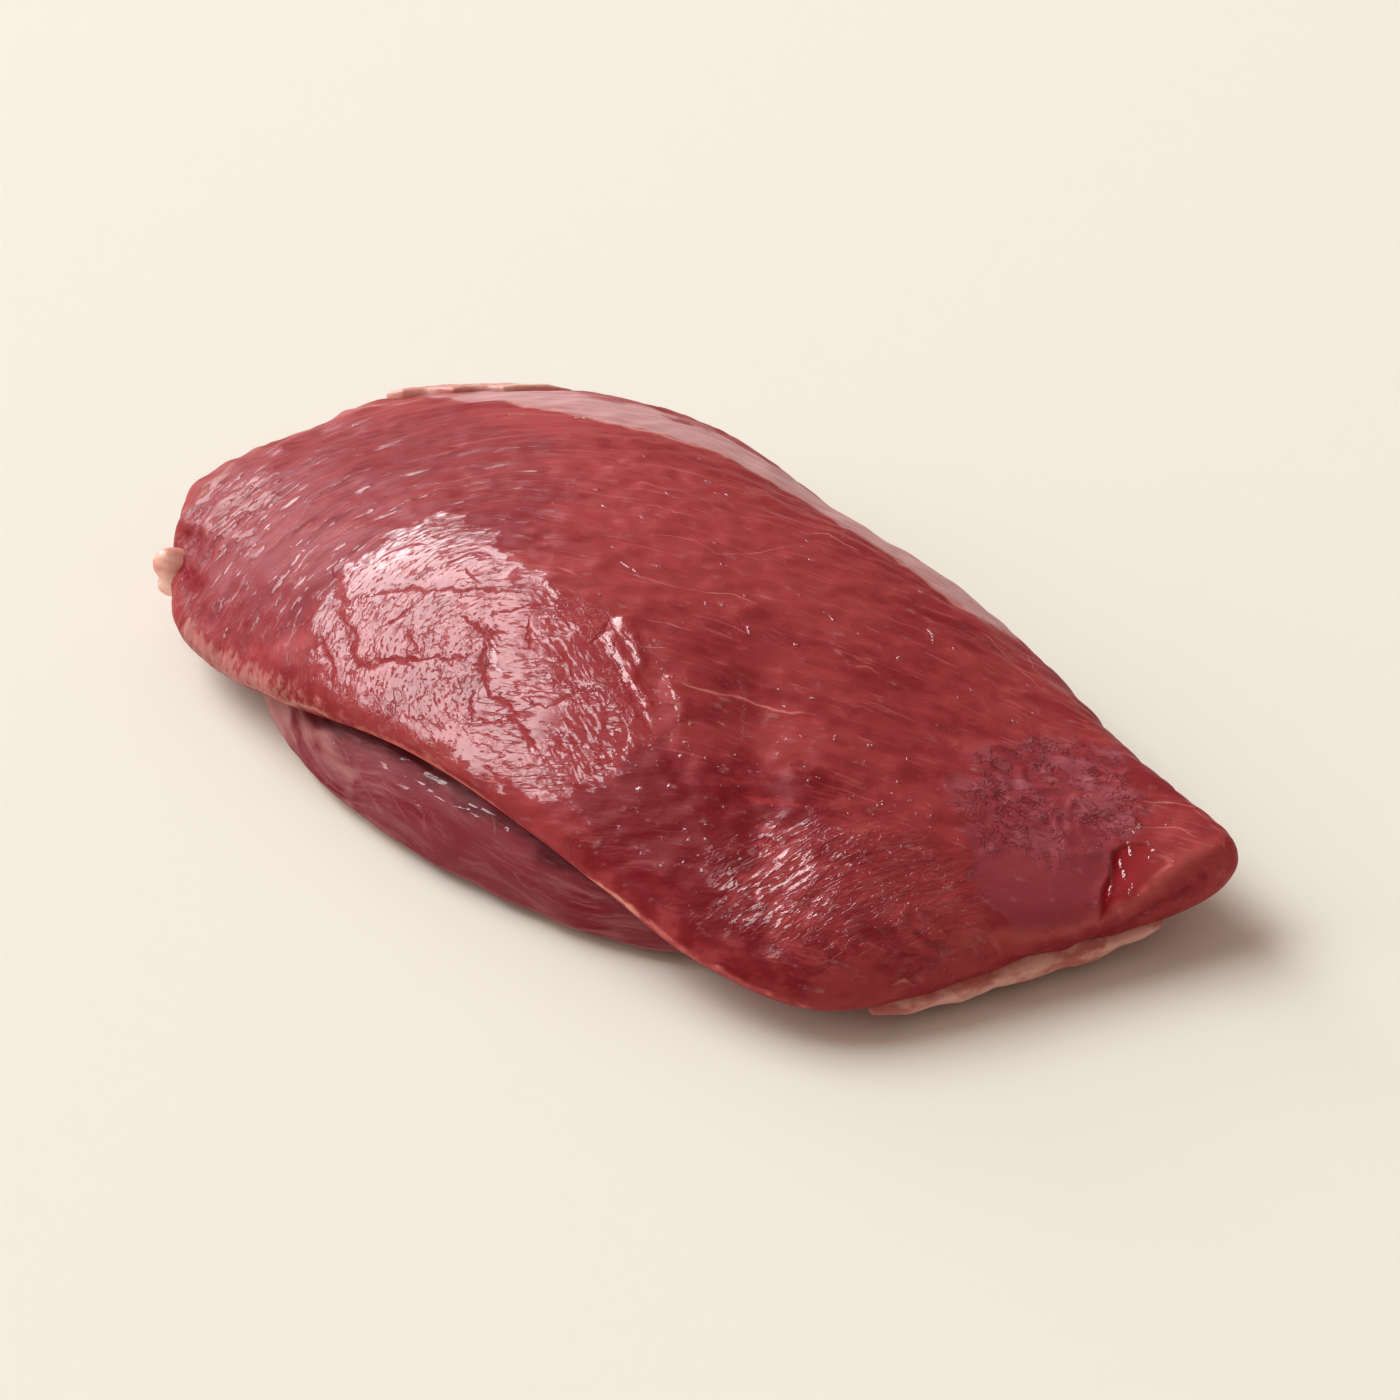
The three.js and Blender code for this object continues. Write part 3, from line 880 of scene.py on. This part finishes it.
# Cracks in the membrane are where a noise passes its middle: long ones with the grain, and a net at the
# dome's right.
crack = {}
for name, wide, low, high in (("long cracks", 0.045, 0.42, 0.54), ("short cracks", 0.05, 0.44, 0.56)):
    off = add(MATH, (noise[name], 0.5), operation="SUBTRACT")
    off = add(MATH, {0: off}, operation="ABSOLUTE")
    here = add(RANGE, {0: noise["patches"], 1: low, 2: high, 3: 0.15}, **SOFT)
    crack[name] = add(RANGE, {0: off, 1: wide * 0.2, 2: wide, 3: here, 4: 0.0}, **SOFT)
net = add(MATH, (mask["right"], 0.35), **MOST)
net = add(MATH, (crack["short cracks"], net), **TIMES)
cracks = add(MATH, (crack["long cracks"], net), **MOST)
on_dome = add(RANGE, {0: mask["dome"], 1: 0.1, 2: 0.6}, **SOFT)
dome_cracks = add(MATH, (cracks, on_dome), **TIMES)
# The crumpled membrane's cracks are coloured darker: painted shade in its folds.
veil_cracks = add(MATH, (crack["short cracks"], mask["crumple"]), **TIMES)
layers.append((add(MATH, (veil_cracks, 0.5), **TIMES), PAINTED_SHADE_RED))
# The dome's cracks and the split creases are coloured darker: painted shade in them.
dark = add(MATH, (dome_cracks, 0.6), **TIMES)
dark = add(MATH, (dark, line["split"]), **MOST)
layers.append((add(MATH, (dark, 0.85), **TIMES), CRACK_SHADE_RED))
layers.append((add(RANGE, {0: mask["sinew"], 1: 0.2, 4: 0.6}, **SOFT), SINEW_PALE))
part = add(MATH, (mask["edge"], wavering), **PLUS)
layers.append((add(RANGE, {0: part, 1: 0.2, 4: 0.8}, **SOFT), EDGE_CREAM))

# The shine: dashes at the shoulder, folds on the hump, and a film on the dome that is whole but for dark
# slits along the fibres, thicker in some places, and breaks into strokes at the dome's wrinkled right.
dash = add(RANGE, {0: noise["dashes"], 1: 0.56, 2: 0.63}, **SOFT)
wide_dash = add(RANGE, {0: noise["short cracks"], 1: 0.42, 2: 0.50}, **SOFT)
fold = add(RANGE, {0: noise["fold strokes"], 1: 0.50, 2: 0.56, 4: 0.95}, **SOFT)
damp_behind = add(RANGE, {0: noise["bands"], 1: 0.40, 2: 0.62, 3: 0.10, 4: 0.45}, **SOFT)
shift = add(RANGE, {0: noise["patches"], 1: 0.38, 2: 0.62, 3: -0.02, 4: 0.10}, **SOFT)
slits = add(MATH, (noise["hairs"], shift), **PLUS)
slits = add(RANGE, {0: slits, 1: 0.37, 2: 0.42}, **SOFT)
strokes = add(MATH, (noise["wrinkles"], shift), **PLUS)
strokes = add(RANGE, {0: strokes, 1: 0.51, 2: 0.57}, **SOFT)
film = add(MIX, {0: mask["right"], 2: slits, 3: strokes})
edge = add(RANGE, {0: noise["blots"], 1: 0.3, 2: 0.7, 3: -0.45, 4: 0.45})
edge = add(MATH, (mask["dome"], edge), **PLUS)
edge = add(RANGE, {0: edge, 1: 0.42, 2: 0.58}, **SOFT)
film = add(MATH, (film, edge), **TIMES)
# Where the film is broken, the slits are also coloured darker: painted shade.
slit = add(MATH, (edge, film), operation="SUBTRACT")
layers.append((add(MATH, (slit, 0.55), **TIMES), CRACK_SHADE_RED))
# Beads of wet that sparkle: the placed ones, and fields of large and small ones. For each field: cells a
# millimetre, a bead's share of its cell, its height in millimetres, and where it lies.
bead = add(RANGE, {0: mask["bead gap"], 1: 0.8, 2: 1.1, 3: 1.0, 4: 0.0}, **SOFT)
swell = add(RANGE, {0: mask["bead gap"], 2: 1.1, 3: 0.16, 4: 0.0}, **SOFT)
few = add(RANGE, {0: noise["bands"], 1: 0.50, 2: 0.54, 4: mask["calm"]}, **SOFT)
some = add(RANGE, {0: noise["blots"], 1: 0.50, 2: 0.56, 4: mask["sparkling"]}, **SOFT)
for cells, share, high_mm, where in (
    ((0.12, 0.21, 0.2), 0.055, 0.17, few),
    ((0.42, 0.55, 0.55), 0.15, 0.10, some),
):
    at = add(VECTOR, (grain_at, cells), **TIMES)
    gap = add("ShaderNodeTexVoronoi", {"Vector": at, "Scale": 1.0}, "Distance", voronoi_dimensions="2D")
    part = add(RANGE, {0: noise["wrinkles"], 1: 0.35, 2: 0.65, 3: -share * 0.5, 4: share * 0.9})
    gap = add(MATH, (gap, part), **PLUS)
    part = add(RANGE, {0: gap, 1: share * 0.85, 2: share, 3: where, 4: 0.0}, **SOFT)
    bead = add(MATH, (bead, part), **MOST)
    part = add(RANGE, {0: gap, 2: share, 3: high_mm, 4: 0.0}, **SOFT)
    part = add(MATH, (part, where), **TIMES)
    swell = add(MATH, (swell, part), **MOST)
gleam = add(RANGE, {0: noise["wrinkles"], 1: 0.38, 2: 0.60, 3: -0.7, 4: 0.3})
gleam = add(MATH, (mask["gleam"], gleam), **PLUS)
gleam = add(RANGE, {0: gleam, 1: 0.3, 2: 0.7}, **SOFT)
coat = add(RANGE, {0: mask["deep"], 3: 0.025, 4: 0.0})
for source, where, most in (
    (film, 1.0, 0.72),
    (dash, mask["shoulder"], 0.43),
    (wide_dash, mask["left"], 0.24),
    (fold, mask["hump"], 1.0),
    (damp_behind, mask["unseen"], 1.0),
):
    part = add(MATH, (source, where), **TIMES)
    part = add(MATH, (part, most), **TIMES)
    coat = add(MATH, (coat, part), **MOST)
for source, least in ((dome_cracks, 0.1), (line["split"], 0.05)):
    part = add(RANGE, {0: source, 3: 1.0, 4: least})
    coat = add(MATH, (coat, part), **TIMES)
for source in (bead, gleam):
    coat = add(MATH, (coat, source), **MOST)

# The fine relief, in millimetres: each height with the mask that lets it show.
fine_mm = 0.0
for source, where, millimetres in (
    (strands, mask["calm"], 0.04),
    (noise["threads"], mask["calm"], 0.012),
    (filament, 1.0, 0.08),
    (noise["bands"], mask["calm"], 0.25),
    (slits, mask["dome"], 0.025),
    (dash, mask["shoulder"], 0.10),
    (wide_dash, mask["left"], 0.12),
    (noise["folds"], mask["hump"], 0.50),
    (fold, mask["hump"], 0.08),
    (noise["blots"], mask["calm"], 0.16),
    (cracks, mask["dome"], -0.05),
    (veil_cracks, mask["crumple"], -0.12),
    (plates, mask["crumple"], 0.16),
    (swell, 1.0, 1.0),
    (gleam, mask["gleam"], 0.03),
    (line["split"], 1.0, -0.06),
):
    part = add(MATH, (source, where), **TIMES)
    part = add(MATH, (part, millimetres), **TIMES)
    fine_mm = add(MATH, (part, fine_mm), **PLUS)
bumpy = add("ShaderNodeBump", {"Strength": 1.0, "Distance": 0.001, "Height": fine_mm})
colour = linear(FLESH_DEEP)
for strength, shade in layers:
    shade = linear(shade) if isinstance(shade, str) else shade
    colour = add(MIX, {0: strength, 6: colour, 7: shade}, **TINT)
damp = add(RANGE, {0: noise["bands"], 1: 0.3, 2: 0.7, 3: 0.55, 4: 0.40})
skin = add("ShaderNodeBsdfPrincipled", {
    "Base Color": colour,
    "Roughness": damp,
    "IOR": 1.4,
    "Specular IOR Level": 0.06,
    "Subsurface Weight": 0.25,
    "Subsurface Radius": (1.0, 0.25, 0.18),
    "Subsurface Scale": 0.0008,
    "Coat Weight": coat,
    "Coat Roughness": 0.12,
    "Coat IOR": 1.5,
    "Normal": bumpy,
    "Coat Normal": bumpy,
})
add("ShaderNodeOutputMaterial", {"Surface": skin})
put_on(breast, flesh)
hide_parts("breast")
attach(breast, "root")

# The inner fillet: the long thin muscle under the breast, darker, in its own grey membrane with pale threads.
# It lies loose along the front edge, and only the side that shows past the lip is seen from the front.
FILLET_VOXEL_MM = 0.45
FILLET_SMOOTHINGS = 6
FILLET_BEND_MM = 26.0
FILLET_ROUND_MM = 7.0
FILLET_DARK = "#7b262e"
FILLET_MAUVE = "#8d4a52"
FILLET_THREAD = "#ad7173"
# Painted shadow under the breast's lip.
FILLET_SHADOW_RED = "#4a1018"
FILLET_PALE = "#c28d8a"
# Waves a millimetre along, across and through, then detail and roughness.
FILLET_NOISES = {
    "lines": ((0.05, 0.95, 0.2), 4, 0.6),
    "threads": ((0.13, 2.1, 0.3), 4, 0.65),
    "blots": ((0.07, 0.34, 0.2), 5, 0.6),
    "streaks": ((0.35, 1.6, 0.3), 3, 0.55),
}

fillet = fine_copy("inner_fillet", FILLET_VOXEL_MM, FILLET_SMOOTHINGS)
fillet_faces = surface_of("inner_fillet")
places = points_of(fillet.data)
facing = normals_of(fillet.data)
low, high = (np.array(corner) * 1000 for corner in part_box("inner_fillet"))
middle = (low + high) / 2
round_angle = np.arctan2(places[:, 2] - middle[2], -(places[:, 1] - middle[1]))
strands = np.stack([places[:, 0], round_angle * FILLET_ROUND_MM, places[:, 2] * 0], axis=1)
strands[:, 1] += 1.2 * ripple(places, 14, 20)
bend = np.clip((places[:, 0] - low[0]) / FILLET_BEND_MM, 0, 1)
strands[:, 1] += 0.2 * FILLET_BEND_MM * (1 - (1 - bend) ** 2)
ground = fade(places[:, 2], 0.1, 1.2)
relief = 0.35 * ripple(places, 9, 21)
relief += 0.22 * ripple(strands, (9, 2.4, 30), 22)
relief += 0.10 * ripple(strands, (5, 1.2, 30), 23)
relief += 0.25 * ripple(places, 3, 24) * (1 - fade(places[:, 0], low[0] + 6, low[0] + 22))
move_points(fillet.data, places + facing * (relief * ground)[:, None])

# Zones of the fillet, as they lie in the photograph.
FILLET_LEFT = [(262, 690), (300, 700), (325, 735), (350, 790), (340, 800), (300, 770), (270, 730)]
FILLET_CALM = [(405, 800), (440, 795), (500, 815), (560, 860), (520, 885), (460, 850), (415, 830)]
# Painted shadow: the band just under the breast's lip, where its shadow falls, is coloured darker.
UNDER_LIP_SHADOW = [(300, 700), (380, 732), (440, 766), (500, 808), (560, 846), (610, 880), (600, 884), (550, 862),
              (495, 826), (440, 784), (380, 752), (325, 728)]
# Pale threads in the fillet's membrane.
FILLET_THREADS = [
    (0.20, [(360, 776), (380, 810), (409, 836), (443, 864)]),
    (0.20, [(306, 756), (330, 785), (360, 816)]),
    (0.18, [(431, 867), (470, 888), (517, 904)]),
    (0.16, [(380, 775), (392, 800), (412, 822)]),
    (0.16, [(340, 745), (352, 770), (360, 776)]),
    (0.18, [(414, 801), (423, 816), (424, 830)]),
    (0.16, [(440, 845), (470, 862), (500, 872)]),
    (0.16, [(510, 870), (520, 885), (545, 893)]),
    (0.16, [(450, 830), (452, 843)]),
    (0.18, [(492, 815), (493, 835)]),
    (0.16, [(320, 740), (330, 765), (345, 785)]),
    (0.16, [(560, 880), (590, 895), (620, 905)]),
    (0.16, [(365, 800), (385, 830), (410, 850)]),
]
# Where light catches wet wrinkles on the fillet: half width in millimetres, then pixels.
FILLET_GLEAMS = [
    (0.32, [(426, 773), (430, 775), (435, 778)]),
    (0.26, [(438, 780), (445, 783)]),
    (0.16, [(402, 758), (409, 760), (416, 765)]),
    (0.15, [(428, 790), (438, 797), (449, 804), (460, 808), (471, 810)]),
    (0.15, [(397, 786), (409, 789)]),
    (0.14, [(404, 776), (414, 779), (424, 785)]),
    (0.14, [(468, 804), (482, 809), (495, 816)]),
    (0.18, [(415, 801), (421, 807)]),
    (0.20, [(400, 785), (406, 789)]),
    (0.20, [(381, 763), (387, 769)]),
    (0.12, [(332, 738), (335, 745)]),
    (0.15, [(318, 748), (320, 755)]),
    (0.25, [(507, 828), (509, 830)]),
    (0.10, [(355, 736), (362, 742)]),
    (0.12, [(470, 812), (478, 818)]),
]

fillet_waver = 1.2 * ripple(places, 4, 25)[:, None]


def fillet_zone(pixels, soft_mm):
    """How much of each point of the fillet lies in a zone, on the side that the camera sees."""
    outline = seen_points(fillet_faces, pixels + pixels[:1])[:, :2]
    return inside_of(places + fillet_waver, outline, soft_mm)


end_mm = places[:, 0] - low[0] + 2 * ripple(places, 4, 29)
thread_side, thread_gap = lines_of(places + 0.5 * wobble(places, 3.0, 26), fillet_faces, FILLET_THREADS)
masks = {
    "tip": np.maximum(fillet_zone(FILLET_LEFT, 6), 1 - fade(end_mm, 8, 20)),
    "smooth": fillet_zone(FILLET_CALM, 9),
    "lip side": fillet_zone(UNDER_LIP_SHADOW, 3.5),
    "low side": 1 - fade(places[:, 2], 0.8, 3.5),
    "shine": 1 - fade(spots_of(places, fillet_faces, FILLET_GLEAMS), 0.6, 1.6),
    "thread side": thread_side,
    "thread gap": thread_gap,
}
keep(fillet.data, masks)
attribute(fillet.data, "grain", (strands[:, 0], strands[:, 1], places[:, 2]))

# Dark fillet muscle in its membrane: wine red under a thin grey-mauve film with pale threads, damp and nearly
# matt, with a few wet wrinkles that shine, and a painted shadow darkening it under the breast's lip.
fillet_skin = new_material("dark_fillet_muscle_in_grey_membrane")
tree = fillet_skin.node_tree
mask = {}
for names in by_threes(masks):
    read = add("ShaderNodeAttribute", {}, "Vector", attribute_name=" ".join(names))
    mask.update(zip(names, add("ShaderNodeSeparateXYZ", {0: read}).node.outputs))
strand_at = add("ShaderNodeAttribute", {}, "Vector", attribute_name="grain")
noise = {}
for name, (waves, detail, rough) in FILLET_NOISES.items():
    at = add(VECTOR, (strand_at, waves), **TIMES)
    noise[name] = add(NOISE, {"Vector": at, "Scale": 1.0, "Detail": detail, "Roughness": rough})
layers = [(add(RANGE, {0: noise["blots"], 1: 0.30, 2: 0.62}, **SOFT), FILLET_MAUVE)]
wavering = add(RANGE, {0: noise["blots"], 1: 0.3, 2: 0.7, 3: -0.3, 4: 0.3})
for name, shade, most in (
    ("tip", FILLET_PALE, 0.8),
    ("low side", FILLET_PALE, 0.5),
    ("smooth", FILLET_DARK, 0.6),
    # The band under the lip is painted shadow.
    ("lip side", FILLET_SHADOW_RED, 0.8),
):
    part = add(MATH, (mask[name], wavering), **PLUS)
    layers.append((add(RANGE, {0: part, 1: 0.2, 2: 0.8, 4: most}, **SOFT), shade))
bare = add(MATH, (mask["smooth"], mask["lip side"]), **MOST)
bare = add(RANGE, {0: bare, 3: 1.0, 4: 0.3})
pale_line = add(RANGE, {0: noise["lines"], 1: 0.52, 2: 0.66, 4: 0.38}, **SOFT)
pale_line = add(MATH, (pale_line, bare), **TIMES)
layers.append((pale_line, FILLET_THREAD))
part = add(RANGE, {0: noise["threads"], 1: 0.50, 2: 0.66, 4: 0.40}, **SOFT)
layers.append((add(MATH, (part, bare), **TIMES), FILLET_THREAD))
part = add(RANGE, {0: noise["streaks"], 1: 0.3, 2: 0.7, 3: -0.8, 4: 0.8})
part = add(MATH, (mask["thread side"], part), **PLUS)
part = add(MATH, {0: part}, operation="ABSOLUTE")
far = add(MATH, (mask["thread gap"], 1.8), operation="SUBTRACT")
part = add(MATH, (part, far), **MOST)
thread = add(RANGE, {0: part, 1: 0.2, 2: 1.6, 3: 0.28, 4: 0.0}, **SOFT)
layers.append((thread, FILLET_THREAD))
streak = add(RANGE, {0: noise["streaks"], 1: 0.35, 2: 0.60, 3: -0.5, 4: 0.2})
streak = add(MATH, (mask["shine"], streak), **PLUS)
streak = add(RANGE, {0: streak, 1: 0.35, 2: 0.65, 4: 0.7}, **SOFT)
coat = add(MATH, (streak, 0.04), **MOST)
fine_mm = 0.0
for source, millimetres in (
    (noise["threads"], 0.06),
    (noise["blots"], 0.30),
    (pale_line, 0.05),
    (streak, 0.06),
    (thread, 0.05),
):
    part = add(MATH, (source, millimetres), **TIMES)
    fine_mm = add(MATH, (part, fine_mm), **PLUS)
bumpy = add("ShaderNodeBump", {"Strength": 1.0, "Distance": 0.001, "Height": fine_mm})
colour = linear(FILLET_DARK)
for strength, shade in layers:
    colour = add(MIX, {0: strength, 6: colour, 7: linear(shade)}, **TINT)
skin = add("ShaderNodeBsdfPrincipled", {
    "Base Color": colour,
    "Roughness": 0.5,
    "IOR": 1.4,
    "Specular IOR Level": 0.0,
    "Subsurface Weight": 0.2,
    "Subsurface Radius": (1.0, 0.3, 0.25),
    "Subsurface Scale": 0.001,
    "Coat Weight": coat,
    "Coat Roughness": 0.15,
    "Coat IOR": 1.5,
    "Normal": bumpy,
    "Coat Normal": bumpy,
})
add("ShaderNodeOutputMaterial", {"Surface": skin})
put_on(fillet, fillet_skin)
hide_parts("inner_fillet")
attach(fillet, "root")

# The bits of fat left when the skin was pulled off: a strip under the tail's edge, a nub at the shoulder
# and a thin pad on the back edge. Each is soft waxy fat, lumpy, with a faint shine.
FAT_VOXEL_MM = 0.3
# For each: darker colour, paler colour, slot, smoothings, then in millimetres how high its lumps are, how
# much thinner it is than its solid, and how near the meat it melts into it.
FATS = {
    "tail_fat": ("#b96d65", "#dcaca0", "tail_fat", 6, 0.22, 0.0, 1.8),
    "shoulder_fat": ("#e19a8b", "#f2c6b6", "pink_fat", 40, 0.0, 0.0, 3.6),
    "back_fat": ("#c98b80", "#e2bcae", "back_fat", 14, 0.26, 0.12, 1.8),
}
MEAT_STAIN = "#a53a3c"
STAIN_MM = 2.0
SUNK_MM = 0.6
FAT_WAVES = (160.0, 160.0, 420.0)
FAT_GRIT = 1100.0
# The nub stands clear of the meat only at the picture's left. Between these pixels it sinks into the meat.
NUB_ENDS = (160, 174)
dressed_faces = BVHTree.FromObject(breast, bpy.context.evaluated_depsgraph_get())
for seed, name in enumerate(FATS):
    dark_hex, pale_hex, slot, smoothings, lumps_mm, thinner_mm, melt_mm = FATS[name]
    piece = fine_copy(name, FAT_VOXEL_MM, smoothings)
    places = points_of(piece.data)
    facing = normals_of(piece.data)
    relief = ripple(places, 3.2, 30 + seed) + 0.3 * ripple(places, 1.2, 40 + seed)
    relief = lumps_mm * relief - thinner_mm
    places = places + facing * (relief * fade(places[:, 2], 0.1, 1.0))[:, None]
    near = np.zeros(len(places))
    off = places - eye_mm
    across_picture = PICTURE / 2 - (off @ rightwards) / (off @ towards_camera) * pixels_deep
    sunk = fade(across_picture, *NUB_ENDS) * (name == "shoulder_fat")
    for index, (place, way) in enumerate(zip(places, facing)):
        under, _, _, far = dressed_faces.find_nearest(Vector(place / 1000))
        far *= 1000
        near[index] = 1 - min(far / STAIN_MM, 1.0)
        inward = (np.array(under) * 1000 - place) / max(far, TINY)
        if far < melt_mm and (inward @ way > 0.0 or melt_mm > 3):
            melt = max(sunk[index], min(1.0, 2.4 * (1 - far / melt_mm)))
            places[index] = place + inward * (far + SUNK_MM + sunk[index]) * melt
    move_points(piece.data, smoothed(piece.data, places, 4))
    attribute(piece.data, "stain", [near])

    # Raw duck fat: waxy and lumpy, cream to pink, stained red near the meat, and lit from within.
    fat = new_material("soft_duck_fat_" + slot)
    tree = fat.node_tree
    at = add("ShaderNodeTexCoord", {}, "Object")
    stretched = add(VECTOR, (at, FAT_WAVES), **TIMES)
    clumps = add(NOISE, {"Vector": stretched, "Scale": 1.0, "Detail": 4.0, "Roughness": 0.6})
    grit = add(NOISE, {"Vector": at, "Scale": FAT_GRIT, "Detail": 3.0})
    part = add(RANGE, {0: clumps, 1: 0.40, 2: 0.62}, **SOFT)
    colour = add(MIX, {0: part, 6: linear(dark_hex), 7: linear(pale_hex)}, **TINT)
    stain = add("ShaderNodeAttribute", {}, "Vector", attribute_name="stain")
    stain = add("ShaderNodeSeparateXYZ", {0: stain})
    part = add(RANGE, {0: clumps, 1: 0.3, 2: 0.7, 3: -0.25, 4: 0.25})
    part = add(MATH, (stain, part), **PLUS)
    part = add(RANGE, {0: part, 1: 0.5, 2: 1.1, 4: 0.7}, **SOFT)
    colour = add(MIX, {0: part, 6: colour, 7: linear(MEAT_STAIN)}, **TINT)
    part = add(MATH, (clumps, 0.20), **TIMES)
    fine_mm = add(MATH, (grit, 0.03), **TIMES)
    fine_mm = add(MATH, (fine_mm, part), **PLUS)
    bumpy = add("ShaderNodeBump", {"Strength": 1.0, "Distance": 0.001, "Height": fine_mm})
    skin = add("ShaderNodeBsdfPrincipled", {
        "Base Color": colour,
        "Roughness": 0.45,
        "IOR": 1.45,
        "Specular IOR Level": 0.2,
        "Subsurface Weight": 0.4,
        "Subsurface Radius": (1.0, 0.5, 0.35),
        "Subsurface Scale": 0.0012,
        "Coat Weight": 0.15,
        "Coat Roughness": 0.2,
        "Normal": bumpy,
        "Coat Normal": bumpy,
    })
    add("ShaderNodeOutputMaterial", {"Surface": skin})
    put_on(piece, fat)
    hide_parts(name)
    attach(piece, "root")

# The table is a plain cream sheet, and the light is one tall softbox at the back left, dimmer panels at the
# left and low behind, and an even pale room. The lights stand far off, so the table is lit alike all over.
TABLE_CREAM = "#edf0e7"
TABLE_SIZE_M = 24.0
ROOM_CREAM = "#ffddcc"
WALL_CREAM = "#f5ede0"
ROOM_STRENGTH = 0.38
LIGHT_FAR_M = 8.0
# For each light: the way to it as right, away and up, half its angle across and in depth, its brightness
# against white paper, its tint, and whether matt surfaces and shine see it. The softbox and the low panel are
# seen in the shine as wider ones.
LIGHTS = (
    ("softbox", (-0.75, 0.42, 1.0), (14, 22), 6.6, "#ffffff", True, False),
    ("softbox_shine", (-0.86, 0.45, 1.0), (21.5, 38), 12.0, "#fff8fc", False, True),
    ("side_panel", (-0.95, 0.05, 0.42), (17, 14), 2.0, "#fffaf6", True, False),
    ("low_panel", (-0.60, 0.80, 0.29), (10, 8), 6.0, "#fff6fa", True, False),
    ("low_panel_shine", (-0.56, 0.80, 0.25), (18, 12), 5.5, "#fff6fa", False, True),
)

table_mesh = bpy.data.meshes.new("table")
half = TABLE_SIZE_M / 2
corners = [(-half, -half, 0), (half, -half, 0), (half, half, 0), (-half, half, 0)]
table_mesh.from_pydata(corners, [], [(0, 1, 2, 3)])
table = bpy.data.objects.new("table", table_mesh)
bpy.context.collection.objects.link(table)

# Matt cream card: no shine, so that only the soft shadow shows on it.
cream = new_material("matt_cream_table")
tree = cream.node_tree
skin = add("ShaderNodeBsdfPrincipled", {
    "Base Color": linear(TABLE_CREAM),
    "Roughness": 0.9,
    "Specular IOR Level": 0.1,
})
add("ShaderNodeOutputMaterial", {"Surface": skin})
table_mesh.materials.append(cream)

for name, (right, away, up), halves, bright, tint, matt, shine in LIGHTS:
    lamp = bpy.data.lights.new(name, "AREA")
    lamp.shape = "RECTANGLE"
    lamp.size, lamp.size_y = (2 * LIGHT_FAR_M * math.tan(math.radians(half)) for half in halves)
    lamp.energy = bright * math.pi * lamp.size * lamp.size_y
    lamp.color = linear(tint)[:3]
    stand = bpy.data.objects.new(name, lamp)
    way = rightwards * right + farther * away + np.array([0, 0, up])
    way /= np.linalg.norm(way)
    deep = farther - way * (way @ farther)
    deep /= np.linalg.norm(deep)
    turn = np.eye(4)
    turn[:3, 0] = np.cross(deep, way)
    turn[:3, 1] = deep
    turn[:3, 2] = way
    turn[:3, 3] = way * LIGHT_FAR_M
    stand.matrix_world = Matrix(turn.tolist())
    stand.visible_diffuse = matt
    stand.visible_glossy = shine
    bpy.context.collection.objects.link(stand)

room = bpy.data.worlds.new("room")
room.use_nodes = True
tree = room.node_tree
tree.nodes.clear()
glow = add("ShaderNodeBackground", {"Color": linear(ROOM_CREAM), "Strength": ROOM_STRENGTH})
wall = add("ShaderNodeBackground", {"Color": linear(WALL_CREAM), "Strength": 1.0})
seen = add("ShaderNodeLightPath", {}, "Is Camera Ray")
both = add("ShaderNodeMixShader", {0: seen, 1: glow, 2: wall})
add("ShaderNodeOutputWorld", {"Surface": both})
bpy.context.scene.world = room
